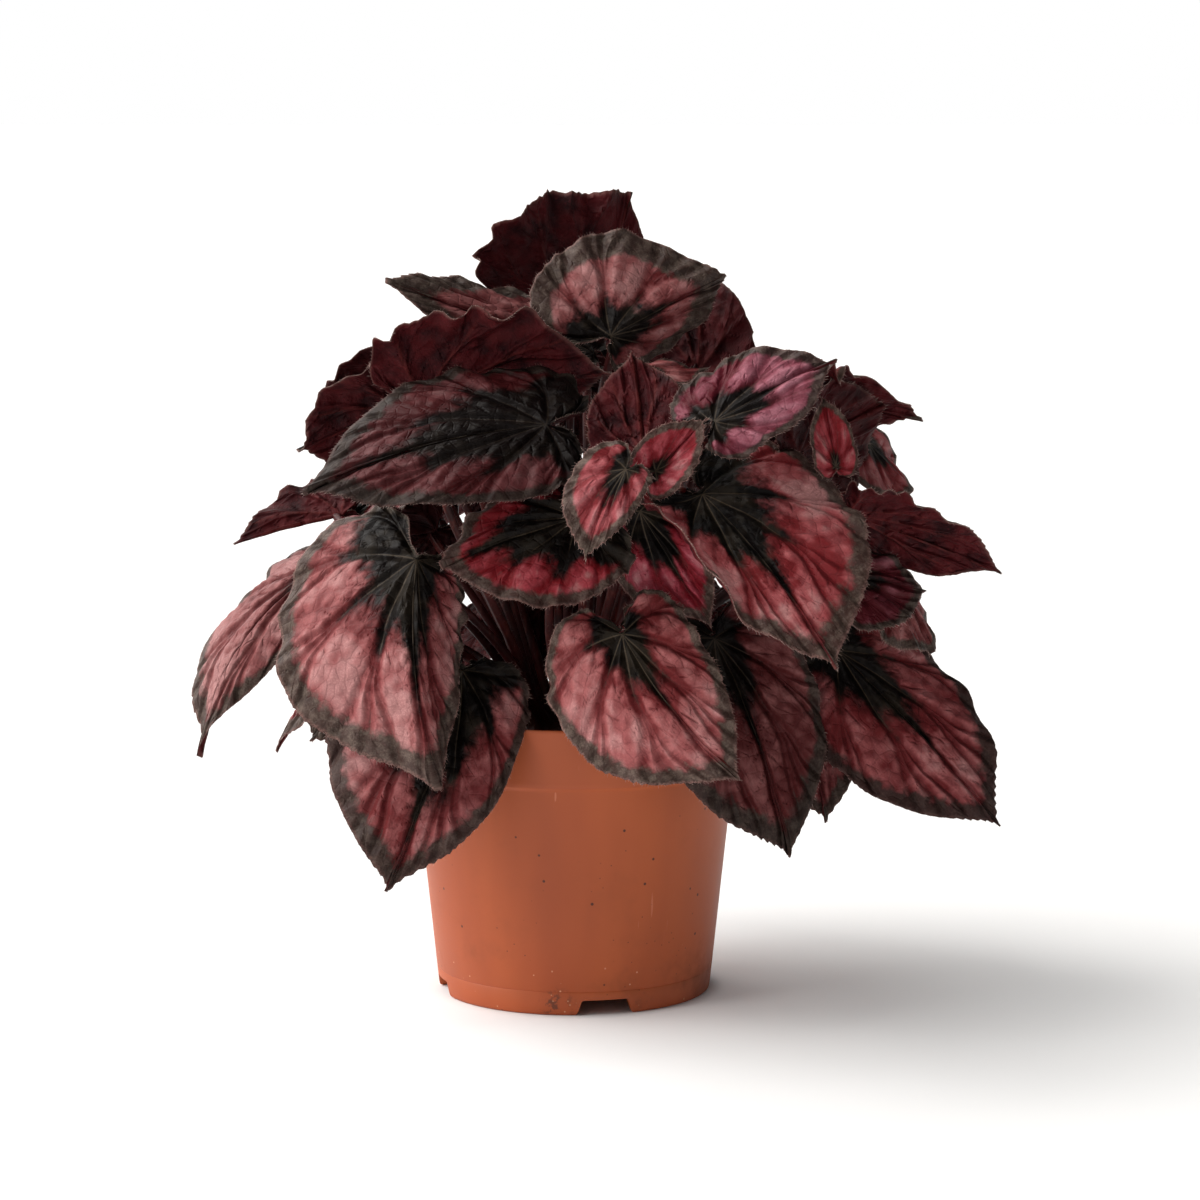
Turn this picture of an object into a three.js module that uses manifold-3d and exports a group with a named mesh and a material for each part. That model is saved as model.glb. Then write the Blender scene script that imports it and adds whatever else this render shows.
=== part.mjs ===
// A rex begonia in a round plastic nursery pot: about fifty heart-shaped leaves on red leaf stalks
// that rise from a short rootstock in dark potting soil.
// Millimetres, +Z up. The origin lies on the ground under the middle of the whole plant's box.
// Leaves are placed in the frame of the pot: its axis is X = 0, Y = 0, its foot stands on Z = 0,
// and -Y is the plant's best side.

import * as THREE from 'three';
import { mergeVertices } from 'three/addons/utils/BufferGeometryUtils.js';
import Module from 'manifold-3d';

const wasm = await Module();
wasm.setup();

// ---------------------------------------------------------------- driving dimensions
const CLEARANCE = 0.3;            // air between pieces that touch on the real plant

const POT_HEIGHT = 103.8;
const POT_FOOT_RADIUS = 49.3;     // outside, at the ground
const POT_TAPER = 0.107;          // outside radius gained per millimetre of height
const POT_WALL = 1.2;
const POT_FOOT_ROUNDING = 1.2;    // rounded lower corner
const COLLAR_START = 83;          // the upper collar steps outwards here
const COLLAR_STEP = 0.8;
const COLLAR_TOP_RADIUS = 60.3;
const FLOOR_HEIGHT = 6.2;         // underside of the raised floor
const FLOOR_THICKNESS = 1.4;
const FOOT_RING_WIDTH = 2.4;
const FOOT_NOTCHES = 4;
const NOTCH_TURN = 13;            // degrees from the front to the first notch
const NOTCH_TOP_WIDTH = 16;
const NOTCH_BOTTOM_WIDTH = 20.7;
const NOTCH_HEIGHT = 5.6;
const DRAIN_HOLES = 8;
const DRAIN_HOLE_RADIUS = 4;
const DRAIN_RING_RADIUS = 34;
const POT_SIDES = 36;

const SOIL_RIM_HEIGHT = 92;       // soil surface at the wall
const SOIL_CROWN_HEIGHT = 95;     // and beside the rootstock
const ROOTSTOCK_RADIUS = 22;
const ROOTSTOCK_TOP = 100;
const ROOTSTOCK_BOTTOM = 84;

const STALK_ROOT_RADIUS = 2.1;    // thicker where it leaves the rootstock
const STALK_END_RADIUS = 1.4;
const STALK_SIDES = 5;
const STALK_STEPS = 5;
const STALK_BED = [4, 19];        // radii on the rootstock between which the stalks rise
const STALK_LIFT = [0.4, 0.28, 0.55];      // how far a stalk rises before it leans out, share of its span
const STALK_REACH = [0.3, 0.18, 0.42, 0.1];     // how long it runs straight into its blade, share of its span
const STALK_SWAY = [0, 14, -14, 28, -28, 42, -42];   // sideways bends that are tried low and high on it, millimetres
const STALK_SEAT = 2.5;           // how far past the notch a stalk meets its blade

const BLADE_THICKNESS = 0.8;
const BLADE_RINGS = [0.4, 0.72, 1];      // shares of the way from the stalk to the margin
const SMALL_BLADE_RINGS = [0.5, 1];
const SMALL_BLADE_LENGTH = 55;
const MARGIN_STEPS = 9;                  // on each side of the midrib
const TOOTH_DEPTH = 0.05;                // share of the half width
const WAVES = 6;                         // waves of the margin in a half turn round the stalk

// One half of the blade's outline, from the notch at the stalk round to the drawn-out tip:
// share of the half width, share of the length, and how far the lobe reaches back past the stalk
// as a share of the half width.
const HALF_OUTLINE = [
  [0, 0, -0.05], [0.14, 0, -0.37], [0.42, 0, -0.53], [0.78, 0, -0.4], [0.98, 0.05, -0.08],
  [1, 0.24, 0], [0.96, 0.43, 0], [0.82, 0.6, 0], [0.55, 0.76, 0], [0.25, 0.88, 0], [0.075, 0.945, 0], [0, 1, 0],
];

// ---------------------------------------------------------------- the leaves of the front half, and six inside
// name, foot of the midrib (where the stalk joins), tip, [azimuth, elevation] that the upper face
// looks to (azimuth 0 is -Y, 90 is +X), half widths [right, left] seen from above with the tip ahead,
// degrees that the midrib arches down, fold of each half along the midrib (+ up), further curl of
// each half towards its margin (+ up), sideways bow of the midrib (share of the length, + right),
// height of the margin's waves.
const LEAVES = [
  ['front_center', [17, -84, 141], [57, -92, 92], [-8, 22], [35, 23], 35, [0, 0], [-25, -25], 0.05, 1.5],
  ['left_drape', [-54, -62, 164], [-46, -88, 88], [-18, 15], [57, 26], 40, [0, -60], [-25, -20], 0.02, 1.5],
  ['far_left', [-91, -18, 156], [-134, -30, 90], [-55, 35], [36, 18], 35, [0, -20], [-25, -25], 0.08, 1.5],
  ['low_left', [-39, -52, 124], [-64, -77, 50], [-8, 12], [44, 27], 35, [0, 0], [-25, -25], -0.03, 1.5],
  ['right_low', [93, -40, 129], [150, -55, 69], [30, 25], [34, 34], 35, [0, 0], [-25, -25], 0.03, 1.5],
  ['low_mid', [49, -58, 136], [75, -70, 61], [0, 15], [34, 27], 35, [0, 0], [-25, -25], -0.03, 1.5],
  ['right_center', [44, -86, 189], [88, -124, 135], [10, 38], [32, 45], 35, [-15, 0], [90, -20], 0, 1.5],
  ['small_center', [18, -112, 200], [4, -118, 171], [-10, 20], [16, 10], 20, [5, 5], [-25, -25], 0.04, 1],
  ['young_center', [28, -98, 198], [45, -102, 216], [0, 15], [12, 12], 10, [45, 45], [-25, -25], 0, 1],
  ['left_big', [-9, -80, 212], [-91, -90, 190], [-10, 45], [38, 27], 35, [0, 0], [-25, -25], 0, 1.5],
  ['left_back_up', [-51, -46, 219], [13, -50, 229], [180, 25], [33, 22], 10, [0, 0], [-15, -15], 0, 1.5],
  ['upper_left', [7, -28, 233], [-66, -40, 259], [-10, 60], [36, 16], 15, [0, 0], [-25, -25], -0.06, 1.5],
  ['top_back', [-4, 18, 248], [20, 46, 288], [175, 25], [40, 23], 20, [0, 0], [-25, -25], -0.12, 2],
  ['upper_center', [13, -42, 240], [54, -14, 259], [25, 30], [16, 37], 20, [-10, 0], [-60, -15], 0, 1.5],
  ['pink_right', [48, -90, 214], [89, -80, 235], [0, 45], [17, 22], 15, [0, 0], [-15, -15], 0, 1.2],
  ['right_top_tip', [77, -52, 225], [123, -20, 209], [170, 40], [14, 10], 20, [0, 0], [-15, -15], -0.05, 1.5],
  ['right_long', [95, -62, 181], [151, -35, 155], [165, 40], [20, 17], 20, [0, 0], [-15, -15], -0.03, 1.5],
  ['right_purple', [94, -64, 158], [123, -50, 152], [20, 45], [20, 16], 20, [0, 0], [-15, -15], 0, 1.5],
  ['right_pale', [111, -36, 155], [127, -34, 127], [60, 35], [26, 20], 20, [0, 0], [-15, -15], 0, 1.5],
  ['center_red', [1, -78, 180], [-45, -84, 164], [-5, 40], [22, 30], 20, [0, 0], [-15, -15], 0, 1.5],
  ['center_upright', [23, -72, 182], [48, -66, 141], [-10, 5], [20, 14], 20, [0, 0], [-15, -15], 0, 1.5],
  ['red_young', [90, -70, 197], [86, -60, 220], [10, 10], [8, 8], 10, [20, 20], [-15, -15], 0, 1],
  ['left_top_a', [-60, -33, 214], [-97, -36, 200], [180, 30], [20, 22], 20, [0, 0], [-15, -15], 0, 1.5],
  ['left_top_b', [-58, -22, 222], [-91, -20, 210], [180, 30], [16, 20], 20, [0, 0], [-15, -15], 0, 1.5],
  ['left_rolled', [-84, 2, 173], [-124, 8, 161], [200, 30], [16, 16], 20, [60, 60], [30, 30], 0, 1.5],
  ['low_right_small', [80, -35, 114], [90, -42, 68], [10, 10], [18, 18], 20, [0, 0], [-15, -15], 0, 1.5],
  ['center_back', [24, -84, 202], [20, -64, 236], [180, 20], [18, 18], 10, [0, 0], [-15, -15], 0, 1.5],
  ['center_top_edge', [24, -55, 229], [47, -46, 228], [0, 70], [11, 11], 10, [0, 0], [-15, -15], 0, 1],
  ['upper_right_dark', [44, -6, 225], [33, 10, 264], [170, 10], [21, 24], 10, [0, 0], [-15, -15], 0, 1.5],
  ['right_edge_on', [105, -10, 200], [122, 2, 182], [80, 20], [24, 24], 10, [0, 0], [-15, -15], 0, 1.5],
  ['right_maroon', [78, -52, 200], [109, -34, 216], [170, 30], [22, 26], 10, [0, 0], [-15, -15], 0, 1.5],
  ['low_left_small', [-73, -25, 124], [-94, -25, 94], [-30, 10], [20, 20], 10, [0, 0], [-15, -15], 0, 1.5],
  ['inner_top', [-4, 4, 226], [-6, 22, 186], [180, 25], [20, 20], 20, [0, 0], [-20, -20], 0, 1.5],
  ['inner_left_high', [-38, -6, 201], [-84, -7, 187], [170, 65], [18, 18], 25, [0, 0], [-25, -25], 0, 1.5],
  ['inner_left_low', [-50, -2, 168], [-94, 4, 122], [190, 20], [22, 20], 25, [0, 0], [-25, -25], 0, 1.5],
  ['inner_middle', [-10, 28, 176], [-14, 38, 106], [180, 10], [30, 30], 20, [0, 0], [-20, -20], 0, 1.5],
  ['inner_right_high', [48, -4, 210], [104, 0, 196], [160, 50], [24, 26], 25, [0, 0], [-25, -25], 0, 1.5],
  ['inner_right_low', [60, 4, 166], [108, 8, 126], [110, 30], [22, 22], 25, [0, 0], [-25, -25], 0, 1.5],
];

// ---------------------------------------------------------------- the leaves of the back half
// Three tiers of leaves that overlap like shingles: first azimuth, step, number, foot radius and
// height, tip radius and height, elevation of the face, half width.
const BACK_TIERS = [
  ['back_low', 96, 36, 5, 66, 136, 122, 74, 32, 30],
  ['back_mid', 104, 36, 5, 62, 186, 114, 140, 40, 30],
  ['back_top', 130, 46, 3, 44, 226, 100, 202, 52, 30],
];
const SHINGLE_ROLL = 22;          // degrees that each of them is rolled, so one edge passes under its neighbour

// a repeatable draw between 0 and 1
const draw = (k) => {
  const v = Math.sin(k * 12.9898) * 43758.5453;
  return v - Math.floor(v);
};

const backLeaves = () => BACK_TIERS.flatMap(([tier, first, step, count, footR, footZ, tipR, tipZ, el, half], t) =>
  Array.from({ length: count }, (_, i) => {
    const seed = 20 * t + 3 * i + 1;
    const az = first + step * i + 8 * (draw(seed) - 0.5);
    const skew = 10 * (draw(seed + 0.3) - 0.5);
    const out = 6 * draw(seed + 0.9);
    const at = (turn, r, z) => {
      const a = THREE.MathUtils.degToRad(turn);
      return [Math.round(r * Math.sin(a)), Math.round(-r * Math.cos(a)), z];
    };
    return [`${tier}_${i + 1}`, at(az, footR + out, footZ), at(az + skew, tipR + out, tipZ + 8 * draw(seed + 0.6)),
      [az + SHINGLE_ROLL, el], [half + 3, half - 3], 35, [0, 0], [-25, -25], 0.02, 1.5];
  }));

const ALL_LEAVES = [...LEAVES, ...backLeaves()];

// ---------------------------------------------------------------- booleans
const solidOf = (geometry) => {
  const bare = geometry.clone();
  bare.deleteAttribute('normal');
  bare.deleteAttribute('uv');
  const merged = mergeVertices(bare, 1e-4);
  return new wasm.Manifold(new wasm.Mesh({
    numProp: 3,
    vertProperties: new Float32Array(merged.attributes.position.array),
    triVerts: new Uint32Array(merged.index.array),
  }));
};

const geometryOf = (solid) => {
  const mesh = solid.getMesh();
  const geometry = new THREE.BufferGeometry();
  geometry.setAttribute('position', new THREE.BufferAttribute(new Float32Array(mesh.vertProperties), 3));
  geometry.setIndex(new THREE.BufferAttribute(new Uint32Array(mesh.triVerts), 1));
  return geometry;
};

const mainPiece = (solid) => solid.decompose().reduce((a, b) => (b.volume() > a.volume() ? b : a));

const latheSolid = (profile, sides) => {
  const points = profile.map(([r, z]) => new THREE.Vector2(r, z));
  const geometry = new THREE.LatheGeometry(points, sides);
  geometry.rotateX(Math.PI / 2);
  return solidOf(geometry);
};

// ---------------------------------------------------------------- pot
const outerRadius = (z) => POT_FOOT_RADIUS + POT_TAPER * z;

const potSolid = () => {
  const wallTop = COLLAR_START - 1;
  const collarFoot = outerRadius(COLLAR_START) + COLLAR_STEP;
  const floorTop = FLOOR_HEIGHT + FLOOR_THICKNESS;
  const corner = POT_FOOT_ROUNDING;
  const innerFoot = POT_FOOT_RADIUS - FOOT_RING_WIDTH;
  let pot = latheSolid([
    [0, FLOOR_HEIGHT],
    [innerFoot, FLOOR_HEIGHT],
    [innerFoot, 0],
    [POT_FOOT_RADIUS - corner, 0],
    [POT_FOOT_RADIUS - 0.3 * corner, 0.3 * corner],
    [outerRadius(corner), corner],
    [outerRadius(wallTop), wallTop],
    [collarFoot, COLLAR_START],
    [COLLAR_TOP_RADIUS, POT_HEIGHT - 0.6],
    [COLLAR_TOP_RADIUS - 0.4, POT_HEIGHT],
    [COLLAR_TOP_RADIUS - POT_WALL, POT_HEIGHT],
    [collarFoot - POT_WALL, COLLAR_START + POT_WALL],
    [outerRadius(wallTop) - POT_WALL, wallTop],
    [outerRadius(floorTop) - POT_WALL, floorTop],
    [0, floorTop],
  ], POT_SIDES);
  const notch = new THREE.Shape([
    new THREE.Vector2(-NOTCH_BOTTOM_WIDTH / 2, -1),
    new THREE.Vector2(NOTCH_BOTTOM_WIDTH / 2, -1),
    new THREE.Vector2(NOTCH_TOP_WIDTH / 2, NOTCH_HEIGHT),
    new THREE.Vector2(-NOTCH_TOP_WIDTH / 2, NOTCH_HEIGHT),
  ]);
  for (let i = 0; i < FOOT_NOTCHES; i += 1) {
    const cutter = new THREE.ExtrudeGeometry(notch, { depth: 14, bevelEnabled: false });
    cutter.rotateX(Math.PI / 2);                       // the outline stands up, the depth runs to -Y
    cutter.translate(0, -(POT_FOOT_RADIUS - 9), 0);
    cutter.rotateZ(THREE.MathUtils.degToRad(NOTCH_TURN + (360 / FOOT_NOTCHES) * i));
    pot = pot.subtract(solidOf(cutter));
  }
  for (let i = 0; i < DRAIN_HOLES; i += 1) {
    const hole = new THREE.CylinderGeometry(DRAIN_HOLE_RADIUS, DRAIN_HOLE_RADIUS, 8, 8);
    hole.rotateX(Math.PI / 2);
    hole.translate(DRAIN_RING_RADIUS, 0, FLOOR_HEIGHT);
    hole.rotateZ((2 * Math.PI * i) / DRAIN_HOLES);
    pot = pot.subtract(solidOf(hole));
  }
  return pot;
};

// ---------------------------------------------------------------- soil and rootstock
const soilSolid = () => {
  const base = FLOOR_HEIGHT + FLOOR_THICKNESS + CLEARANCE;
  const wall = (z) => outerRadius(z) - POT_WALL - CLEARANCE;
  const pit = ROOTSTOCK_RADIUS + CLEARANCE;
  return latheSolid([
    [0, base],
    [wall(base), base],
    [wall(COLLAR_START - 1), COLLAR_START - 1],
    [wall(COLLAR_START + 4), SOIL_RIM_HEIGHT],
    [0.6 * POT_FOOT_RADIUS, SOIL_CROWN_HEIGHT - 0.8],
    [pit, SOIL_CROWN_HEIGHT],
    [pit, ROOTSTOCK_BOTTOM - CLEARANCE],
    [0, ROOTSTOCK_BOTTOM - CLEARANCE],
  ], 30);
};

const rootstockSolid = () => latheSolid([
  [0, ROOTSTOCK_BOTTOM],
  [ROOTSTOCK_RADIUS - 2, ROOTSTOCK_BOTTOM],
  [ROOTSTOCK_RADIUS, SOIL_CROWN_HEIGHT - 2],
  [0.75 * ROOTSTOCK_RADIUS, ROOTSTOCK_TOP - 1.5],
  [0, ROOTSTOCK_TOP],
], 12);

// ---------------------------------------------------------------- leaf blades
const vec = (a) => new THREE.Vector3(a[0], a[1], a[2]);
const rad = THREE.MathUtils.degToRad;

// where a leaf sits: its foot, length along the midrib, and the axes at its foot
const leafFrame = ([, foot, tip, [az, el], half, archDegrees]) => {
  const chord = vec(tip).sub(vec(foot));
  const reach = chord.length();
  chord.normalize();
  const hint = new THREE.Vector3(Math.sin(rad(az)) * Math.cos(rad(el)), -Math.cos(rad(az)) * Math.cos(rad(el)), Math.sin(rad(el)));
  const face = hint.addScaledVector(chord, -hint.dot(chord)).normalize();
  const arch = rad(archDegrees);
  const length = (reach * arch) / 2 / Math.sin(arch / 2);
  const along = chord.clone().multiplyScalar(Math.cos(arch / 2)).addScaledVector(face, Math.sin(arch / 2));
  const up = face.clone().multiplyScalar(Math.cos(arch / 2)).addScaledVector(chord, -Math.sin(arch / 2));
  return { foot: vec(foot), length, arch, along, up, right: along.clone().cross(up), half };
};

// a point of the blade's middle surface: x to the right, y towards the tip, s its share of the way
// from the stalk to the margin
const bladePoint = (leaf, index, frame, x, y, s) => {
  const [, , , , half, , fold, curl, bow, wave] = leaf;
  const side = x >= 0 ? 0 : 1;
  const sign = side === 0 ? 1 : -1;
  const width = half[side];
  const turn = rad(curl[side]) || 1e-3;
  const start = rad(fold[side]);
  const end = start + (turn * Math.abs(x)) / width;
  const ripple = wave * s * s * Math.sin(WAVES * Math.atan2(Math.abs(x), y) + 2.4 * index + 1.9 * side);
  const rise = (-width / turn) * (Math.cos(end) - Math.cos(start)) + ripple;
  const t = y / frame.length;
  const across = sign * (width / turn) * (Math.sin(end) - Math.sin(start)) + bow * frame.length * 4 * t * (1 - Math.max(0, Math.min(1, t)));
  const q = frame.arch * t;
  const bend = frame.length / frame.arch;
  const up = frame.up.clone().multiplyScalar(Math.cos(q)).addScaledVector(frame.along, Math.sin(q));
  return frame.foot.clone()
    .addScaledVector(frame.along, bend * Math.sin(q))
    .addScaledVector(frame.up, -bend * (1 - Math.cos(q)))
    .addScaledVector(frame.right, across)
    .addScaledVector(up, rise);
};

// the flat outline: notch, right half, tip, left half
const marginPoints = (frame) => {
  const wide = Math.max(...frame.half);
  const sides = frame.half.map((width) => {
    const curve = new THREE.SplineCurve(HALF_OUTLINE.map(([w, l, b]) =>
      new THREE.Vector2(w * width, l * frame.length + (b * width * width) / wide)));
    return Array.from({ length: MARGIN_STEPS + 1 }, (_, k) => {
      const tooth = k % 2 ? -TOOTH_DEPTH / 2 : TOOTH_DEPTH / 2;
      return curve.getPoint((k / MARGIN_STEPS) ** 0.95).multiplyScalar(k % MARGIN_STEPS ? 1 + tooth : 1);
    });
  });
  const [right, left] = sides;
  const notch = new THREE.Vector2(0, (right[0].y + left[0].y) / 2);
  return [notch, ...right.slice(1, -1), new THREE.Vector2(0, frame.length),
    ...left.slice(1, -1).reverse().map((p) => new THREE.Vector2(-p.x, p.y))];
};

// a thin closed shell: the same triangles on its upper and lower face, joined round the margin
const bladeGeometry = (leaf, index, thickness) => {
  const frame = leafFrame(leaf);
  const margin = marginPoints(frame);
  const count = margin.length;
  const rings = frame.length > SMALL_BLADE_LENGTH ? BLADE_RINGS : SMALL_BLADE_RINGS;
  const middle = [bladePoint(leaf, index, frame, 0, 0, 0)];
  rings.forEach((s) => margin.forEach((p) => middle.push(bladePoint(leaf, index, frame, p.x * s, p.y * s, s))));
  const faces = [];
  for (let j = 0; j < count; j += 1) {
    const k = (j + 1) % count;
    faces.push([0, 1 + j, 1 + k]);
    for (let r = 0; r + 1 < rings.length; r += 1) {
      const inner = 1 + r * count;
      const outer = inner + count;
      faces.push([inner + j, outer + j, outer + k], [inner + j, outer + k, inner + k]);
    }
  }
  const normals = middle.map(() => new THREE.Vector3());
  faces.forEach(([a, b, c]) => {
    const normal = middle[b].clone().sub(middle[a]).cross(middle[c].clone().sub(middle[a]));
    [a, b, c].forEach((i) => normals[i].add(normal));
  });
  const position = [];
  [thickness / 2, -thickness / 2].forEach((lift) => middle.forEach((p, i) => {
    position.push(...p.clone().addScaledVector(normals[i].normalize(), lift).toArray());
  }));
  const total = middle.length;
  const triangles = faces.flatMap(([a, b, c]) => [a, b, c, a + total, c + total, b + total]);
  const last = total - count;
  for (let j = 0; j < count; j += 1) {
    const a = last + j;
    const b = last + ((j + 1) % count);
    triangles.push(a, a + total, b + total, a, b + total, b);
  }
  const geometry = new THREE.BufferGeometry();
  geometry.setAttribute('position', new THREE.Float32BufferAttribute(position, 3));
  geometry.setIndex(triangles);
  return geometry;
};

// ---------------------------------------------------------------- leaf stalks
// A stalk rises from its place on the rootstock, leans out and meets its blade from below.
const stalkCurve = (leaf, { lift, reach, low, high }) => {
  const frame = leafFrame(leaf);
  const away = new THREE.Vector3(frame.foot.x, frame.foot.y, 0);
  const bed = THREE.MathUtils.mapLinear(Math.min(away.length(), 110), 0, 110, ...STALK_BED);
  away.normalize();
  const aside = new THREE.Vector3(-away.y, away.x, 0);
  const root = away.clone().multiplyScalar(bed).setZ(ROOTSTOCK_TOP - 7);
  const seat = frame.foot.clone().addScaledVector(frame.along, Math.min(STALK_SEAT, 0.06 * frame.length));
  const arrive = frame.up.clone().multiplyScalar(0.75).addScaledVector(frame.along, 0.4);
  arrive.z += 0.35;
  arrive.normalize();
  const span = frame.foot.distanceTo(root);
  const leave = root.clone().addScaledVector(away, 0.12 * span).addScaledVector(aside, low);
  leave.z += lift * span;
  const meet = seat.clone().addScaledVector(arrive, -reach * span).addScaledVector(aside, high);
  return new THREE.CubicBezierCurve3(root, leave, meet, seat);
};

const tubeSolid = (curve) => {
  const frames = curve.computeFrenetFrames(STALK_STEPS, false);
  const position = [];
  for (let i = 0; i <= STALK_STEPS; i += 1) {
    const t = i / STALK_STEPS;
    const radius = THREE.MathUtils.lerp(STALK_ROOT_RADIUS, STALK_END_RADIUS, t);
    const centre = curve.getPointAt(t);
    for (let j = 0; j < STALK_SIDES; j += 1) {
      const a = (2 * Math.PI * j) / STALK_SIDES;
      position.push(...centre.clone()
        .addScaledVector(frames.normals[i], radius * Math.cos(a))
        .addScaledVector(frames.binormals[i], radius * Math.sin(a)).toArray());
    }
  }
  const triangles = [];
  for (let i = 0; i < STALK_STEPS; i += 1) {
    for (let j = 0; j < STALK_SIDES; j += 1) {
      const a = i * STALK_SIDES + j;
      const b = i * STALK_SIDES + ((j + 1) % STALK_SIDES);
      triangles.push(a, b, b + STALK_SIDES, a, b + STALK_SIDES, a + STALK_SIDES);
    }
  }
  const end = STALK_STEPS * STALK_SIDES;
  for (let j = 1; j + 1 < STALK_SIDES; j += 1) {
    triangles.push(0, j + 1, j, end, end + j, end + j + 1);
  }
  const geometry = new THREE.BufferGeometry();
  geometry.setAttribute('position', new THREE.Float32BufferAttribute(position, 3));
  geometry.setIndex(triangles);
  return solidOf(geometry);
};

// room that a stalk must leave free: every blade with the clearance on both faces
const bladeRooms = ALL_LEAVES.map((leaf, i) => solidOf(bladeGeometry(leaf, i, BLADE_THICKNESS + 2 * CLEARANCE)));

const boxesMeet = (a, b) => a.min.every((v, k) => v < b.max[k] && b.min[k] < a.max[k]);

// The stalk of one leaf. It bends another way until it clears the soil, the pot and every blade.
const OWN_LOSS = 0.015;           // the share of a stalk that its own blade may trim off its end
const ROUTES = STALK_SWAY.flatMap((low) => STALK_SWAY.flatMap((high) =>
  STALK_LIFT.flatMap((lift) => STALK_REACH.map((reach) => ({ lift, reach, low, high })))))
  .sort((a, b) => Math.abs(a.low) + Math.abs(a.high) - Math.abs(b.low) - Math.abs(b.high));

const stalkSolid = (leaf, index, others) => {
  let best = null;
  for (const route of ROUTES) {
    const whole = tubeSolid(stalkCurve(leaf, route));
    const stalk = mainPiece(whole.subtract(bladeRooms[index]));
    const bounds = stalk.boundingBox();
    const lost = Math.max(0, whole.volume() * (1 - OWN_LOSS) - stalk.volume());
    const crossed = others.reduce((sum, other) =>
      sum + (boxesMeet(bounds, other.bounds) ? stalk.intersect(other.solid).volume() : 0), lost);
    if (!best || crossed < best.crossed) best = { stalk, crossed, route };
    if (crossed < 1e-3) break;
  }
  return best;
};

const stalkList = (pot, soil) => {
  const obstacles = [...bladeRooms, pot, soil].map((solid) => ({ solid, bounds: solid.boundingBox() }));
  return ALL_LEAVES.map((leaf, i) => stalkSolid(leaf, i, obstacles.filter((_, k) => k !== i)));
};

// ---------------------------------------------------------------- the plant
const finish = (color, roughness) => new THREE.MeshStandardMaterial({ color, roughness, metalness: 0 });
const POT_PLASTIC = finish(0xb5633c, 0.5);
const SOIL_DARK = finish(0x17120f, 0.95);
const STALK_RED = finish(0x6a2226, 0.6);
const LEAF_RED = finish(0x8a3740, 0.55);

const plant = new THREE.Group();
const addPart = (name, geometry, material) => {
  const mesh = new THREE.Mesh(geometry, material);
  mesh.name = name;
  plant.add(mesh);
};

const pot = potSolid();
const soil = soilSolid();
const stalks = stalkList(pot, soil).reduce((all, { stalk }) => all.add(stalk), rootstockSolid());
addPart('pot', geometryOf(pot), POT_PLASTIC);
addPart('soil', geometryOf(soil), SOIL_DARK);
addPart('stalks', geometryOf(stalks), STALK_RED);
ALL_LEAVES.forEach((leaf, i) => addPart(`leaf_${leaf[0]}`, bladeGeometry(leaf, i, BLADE_THICKNESS), LEAF_RED));

// the origin goes under the middle of the whole plant
const box = new THREE.Box3().setFromObject(plant);
plant.position.set(-(box.min.x + box.max.x) / 2, -(box.min.y + box.max.y) / 2, -box.min.z);
plant.updateMatrixWorld(true);

export default plant;
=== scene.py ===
# %% [markdown]
# # A potted rex begonia
#
# A rex begonia is grown for its leaves. Each one is a lop-sided heart on a long red stalk, with a
# toothed grey-green margin, a quilted rose-pink band and a nearly black star that follows the veins.
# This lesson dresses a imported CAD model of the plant. The CAD solids say where every leaf is and how
# it bends. Here each one is swapped for a finer sheet of the same form, and gets veins, hairs and colour.

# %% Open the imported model
import math
from itertools import zip_longest

import bmesh
import bpy
import numpy as np
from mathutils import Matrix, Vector, noise as lumps

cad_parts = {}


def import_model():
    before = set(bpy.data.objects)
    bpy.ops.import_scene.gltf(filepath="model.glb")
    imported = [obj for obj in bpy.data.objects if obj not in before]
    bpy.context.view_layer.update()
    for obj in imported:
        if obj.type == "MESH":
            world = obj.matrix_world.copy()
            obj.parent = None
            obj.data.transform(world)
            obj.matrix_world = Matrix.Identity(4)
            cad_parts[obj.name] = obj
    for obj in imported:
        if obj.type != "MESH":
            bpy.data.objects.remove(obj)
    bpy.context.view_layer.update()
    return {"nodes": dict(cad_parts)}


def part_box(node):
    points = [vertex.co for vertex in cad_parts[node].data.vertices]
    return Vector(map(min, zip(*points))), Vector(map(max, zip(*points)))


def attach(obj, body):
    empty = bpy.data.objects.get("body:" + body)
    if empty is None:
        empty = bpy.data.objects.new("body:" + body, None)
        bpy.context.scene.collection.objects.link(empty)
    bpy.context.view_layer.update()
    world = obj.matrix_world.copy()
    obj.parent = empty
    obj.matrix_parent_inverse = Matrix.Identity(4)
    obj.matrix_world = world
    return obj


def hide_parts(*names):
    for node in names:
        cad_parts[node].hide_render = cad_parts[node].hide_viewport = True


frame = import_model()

pot_low, pot_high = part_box("pot")
POT_AXIS = ((pot_low.x + pot_high.x) / 2, (pot_low.y + pot_high.y) / 2)
MM = 0.001

# %% [markdown]
# ## A kit for nodes
#
# Materials and Geometry Nodes are both graphs. Written by hand they are long, so two small classes
# carry the work. A `Wire` is one output socket, and the usual operators on it add Math nodes. A `Net`
# is the graph itself: `node` makes any node, sets its settings first and then fills its sockets. After
# them come a few helpers that put a mesh, a light or a camera into the scene.

# %% Wires and nets
class Wire:
    """One output socket. Arithmetic on it adds Math nodes."""

    def __init__(self, net, socket):
        self.net = net
        self.socket = socket

    def __add__(self, other):
        return self.net.math("ADD", self, other)

    def __sub__(self, other):
        return self.net.math("SUBTRACT", self, other)

    def __rsub__(self, other):
        return self.net.math("SUBTRACT", other, self)

    def __mul__(self, other):
        return self.net.math("MULTIPLY", self, other)

    __radd__ = __add__
    __rmul__ = __mul__


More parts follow.
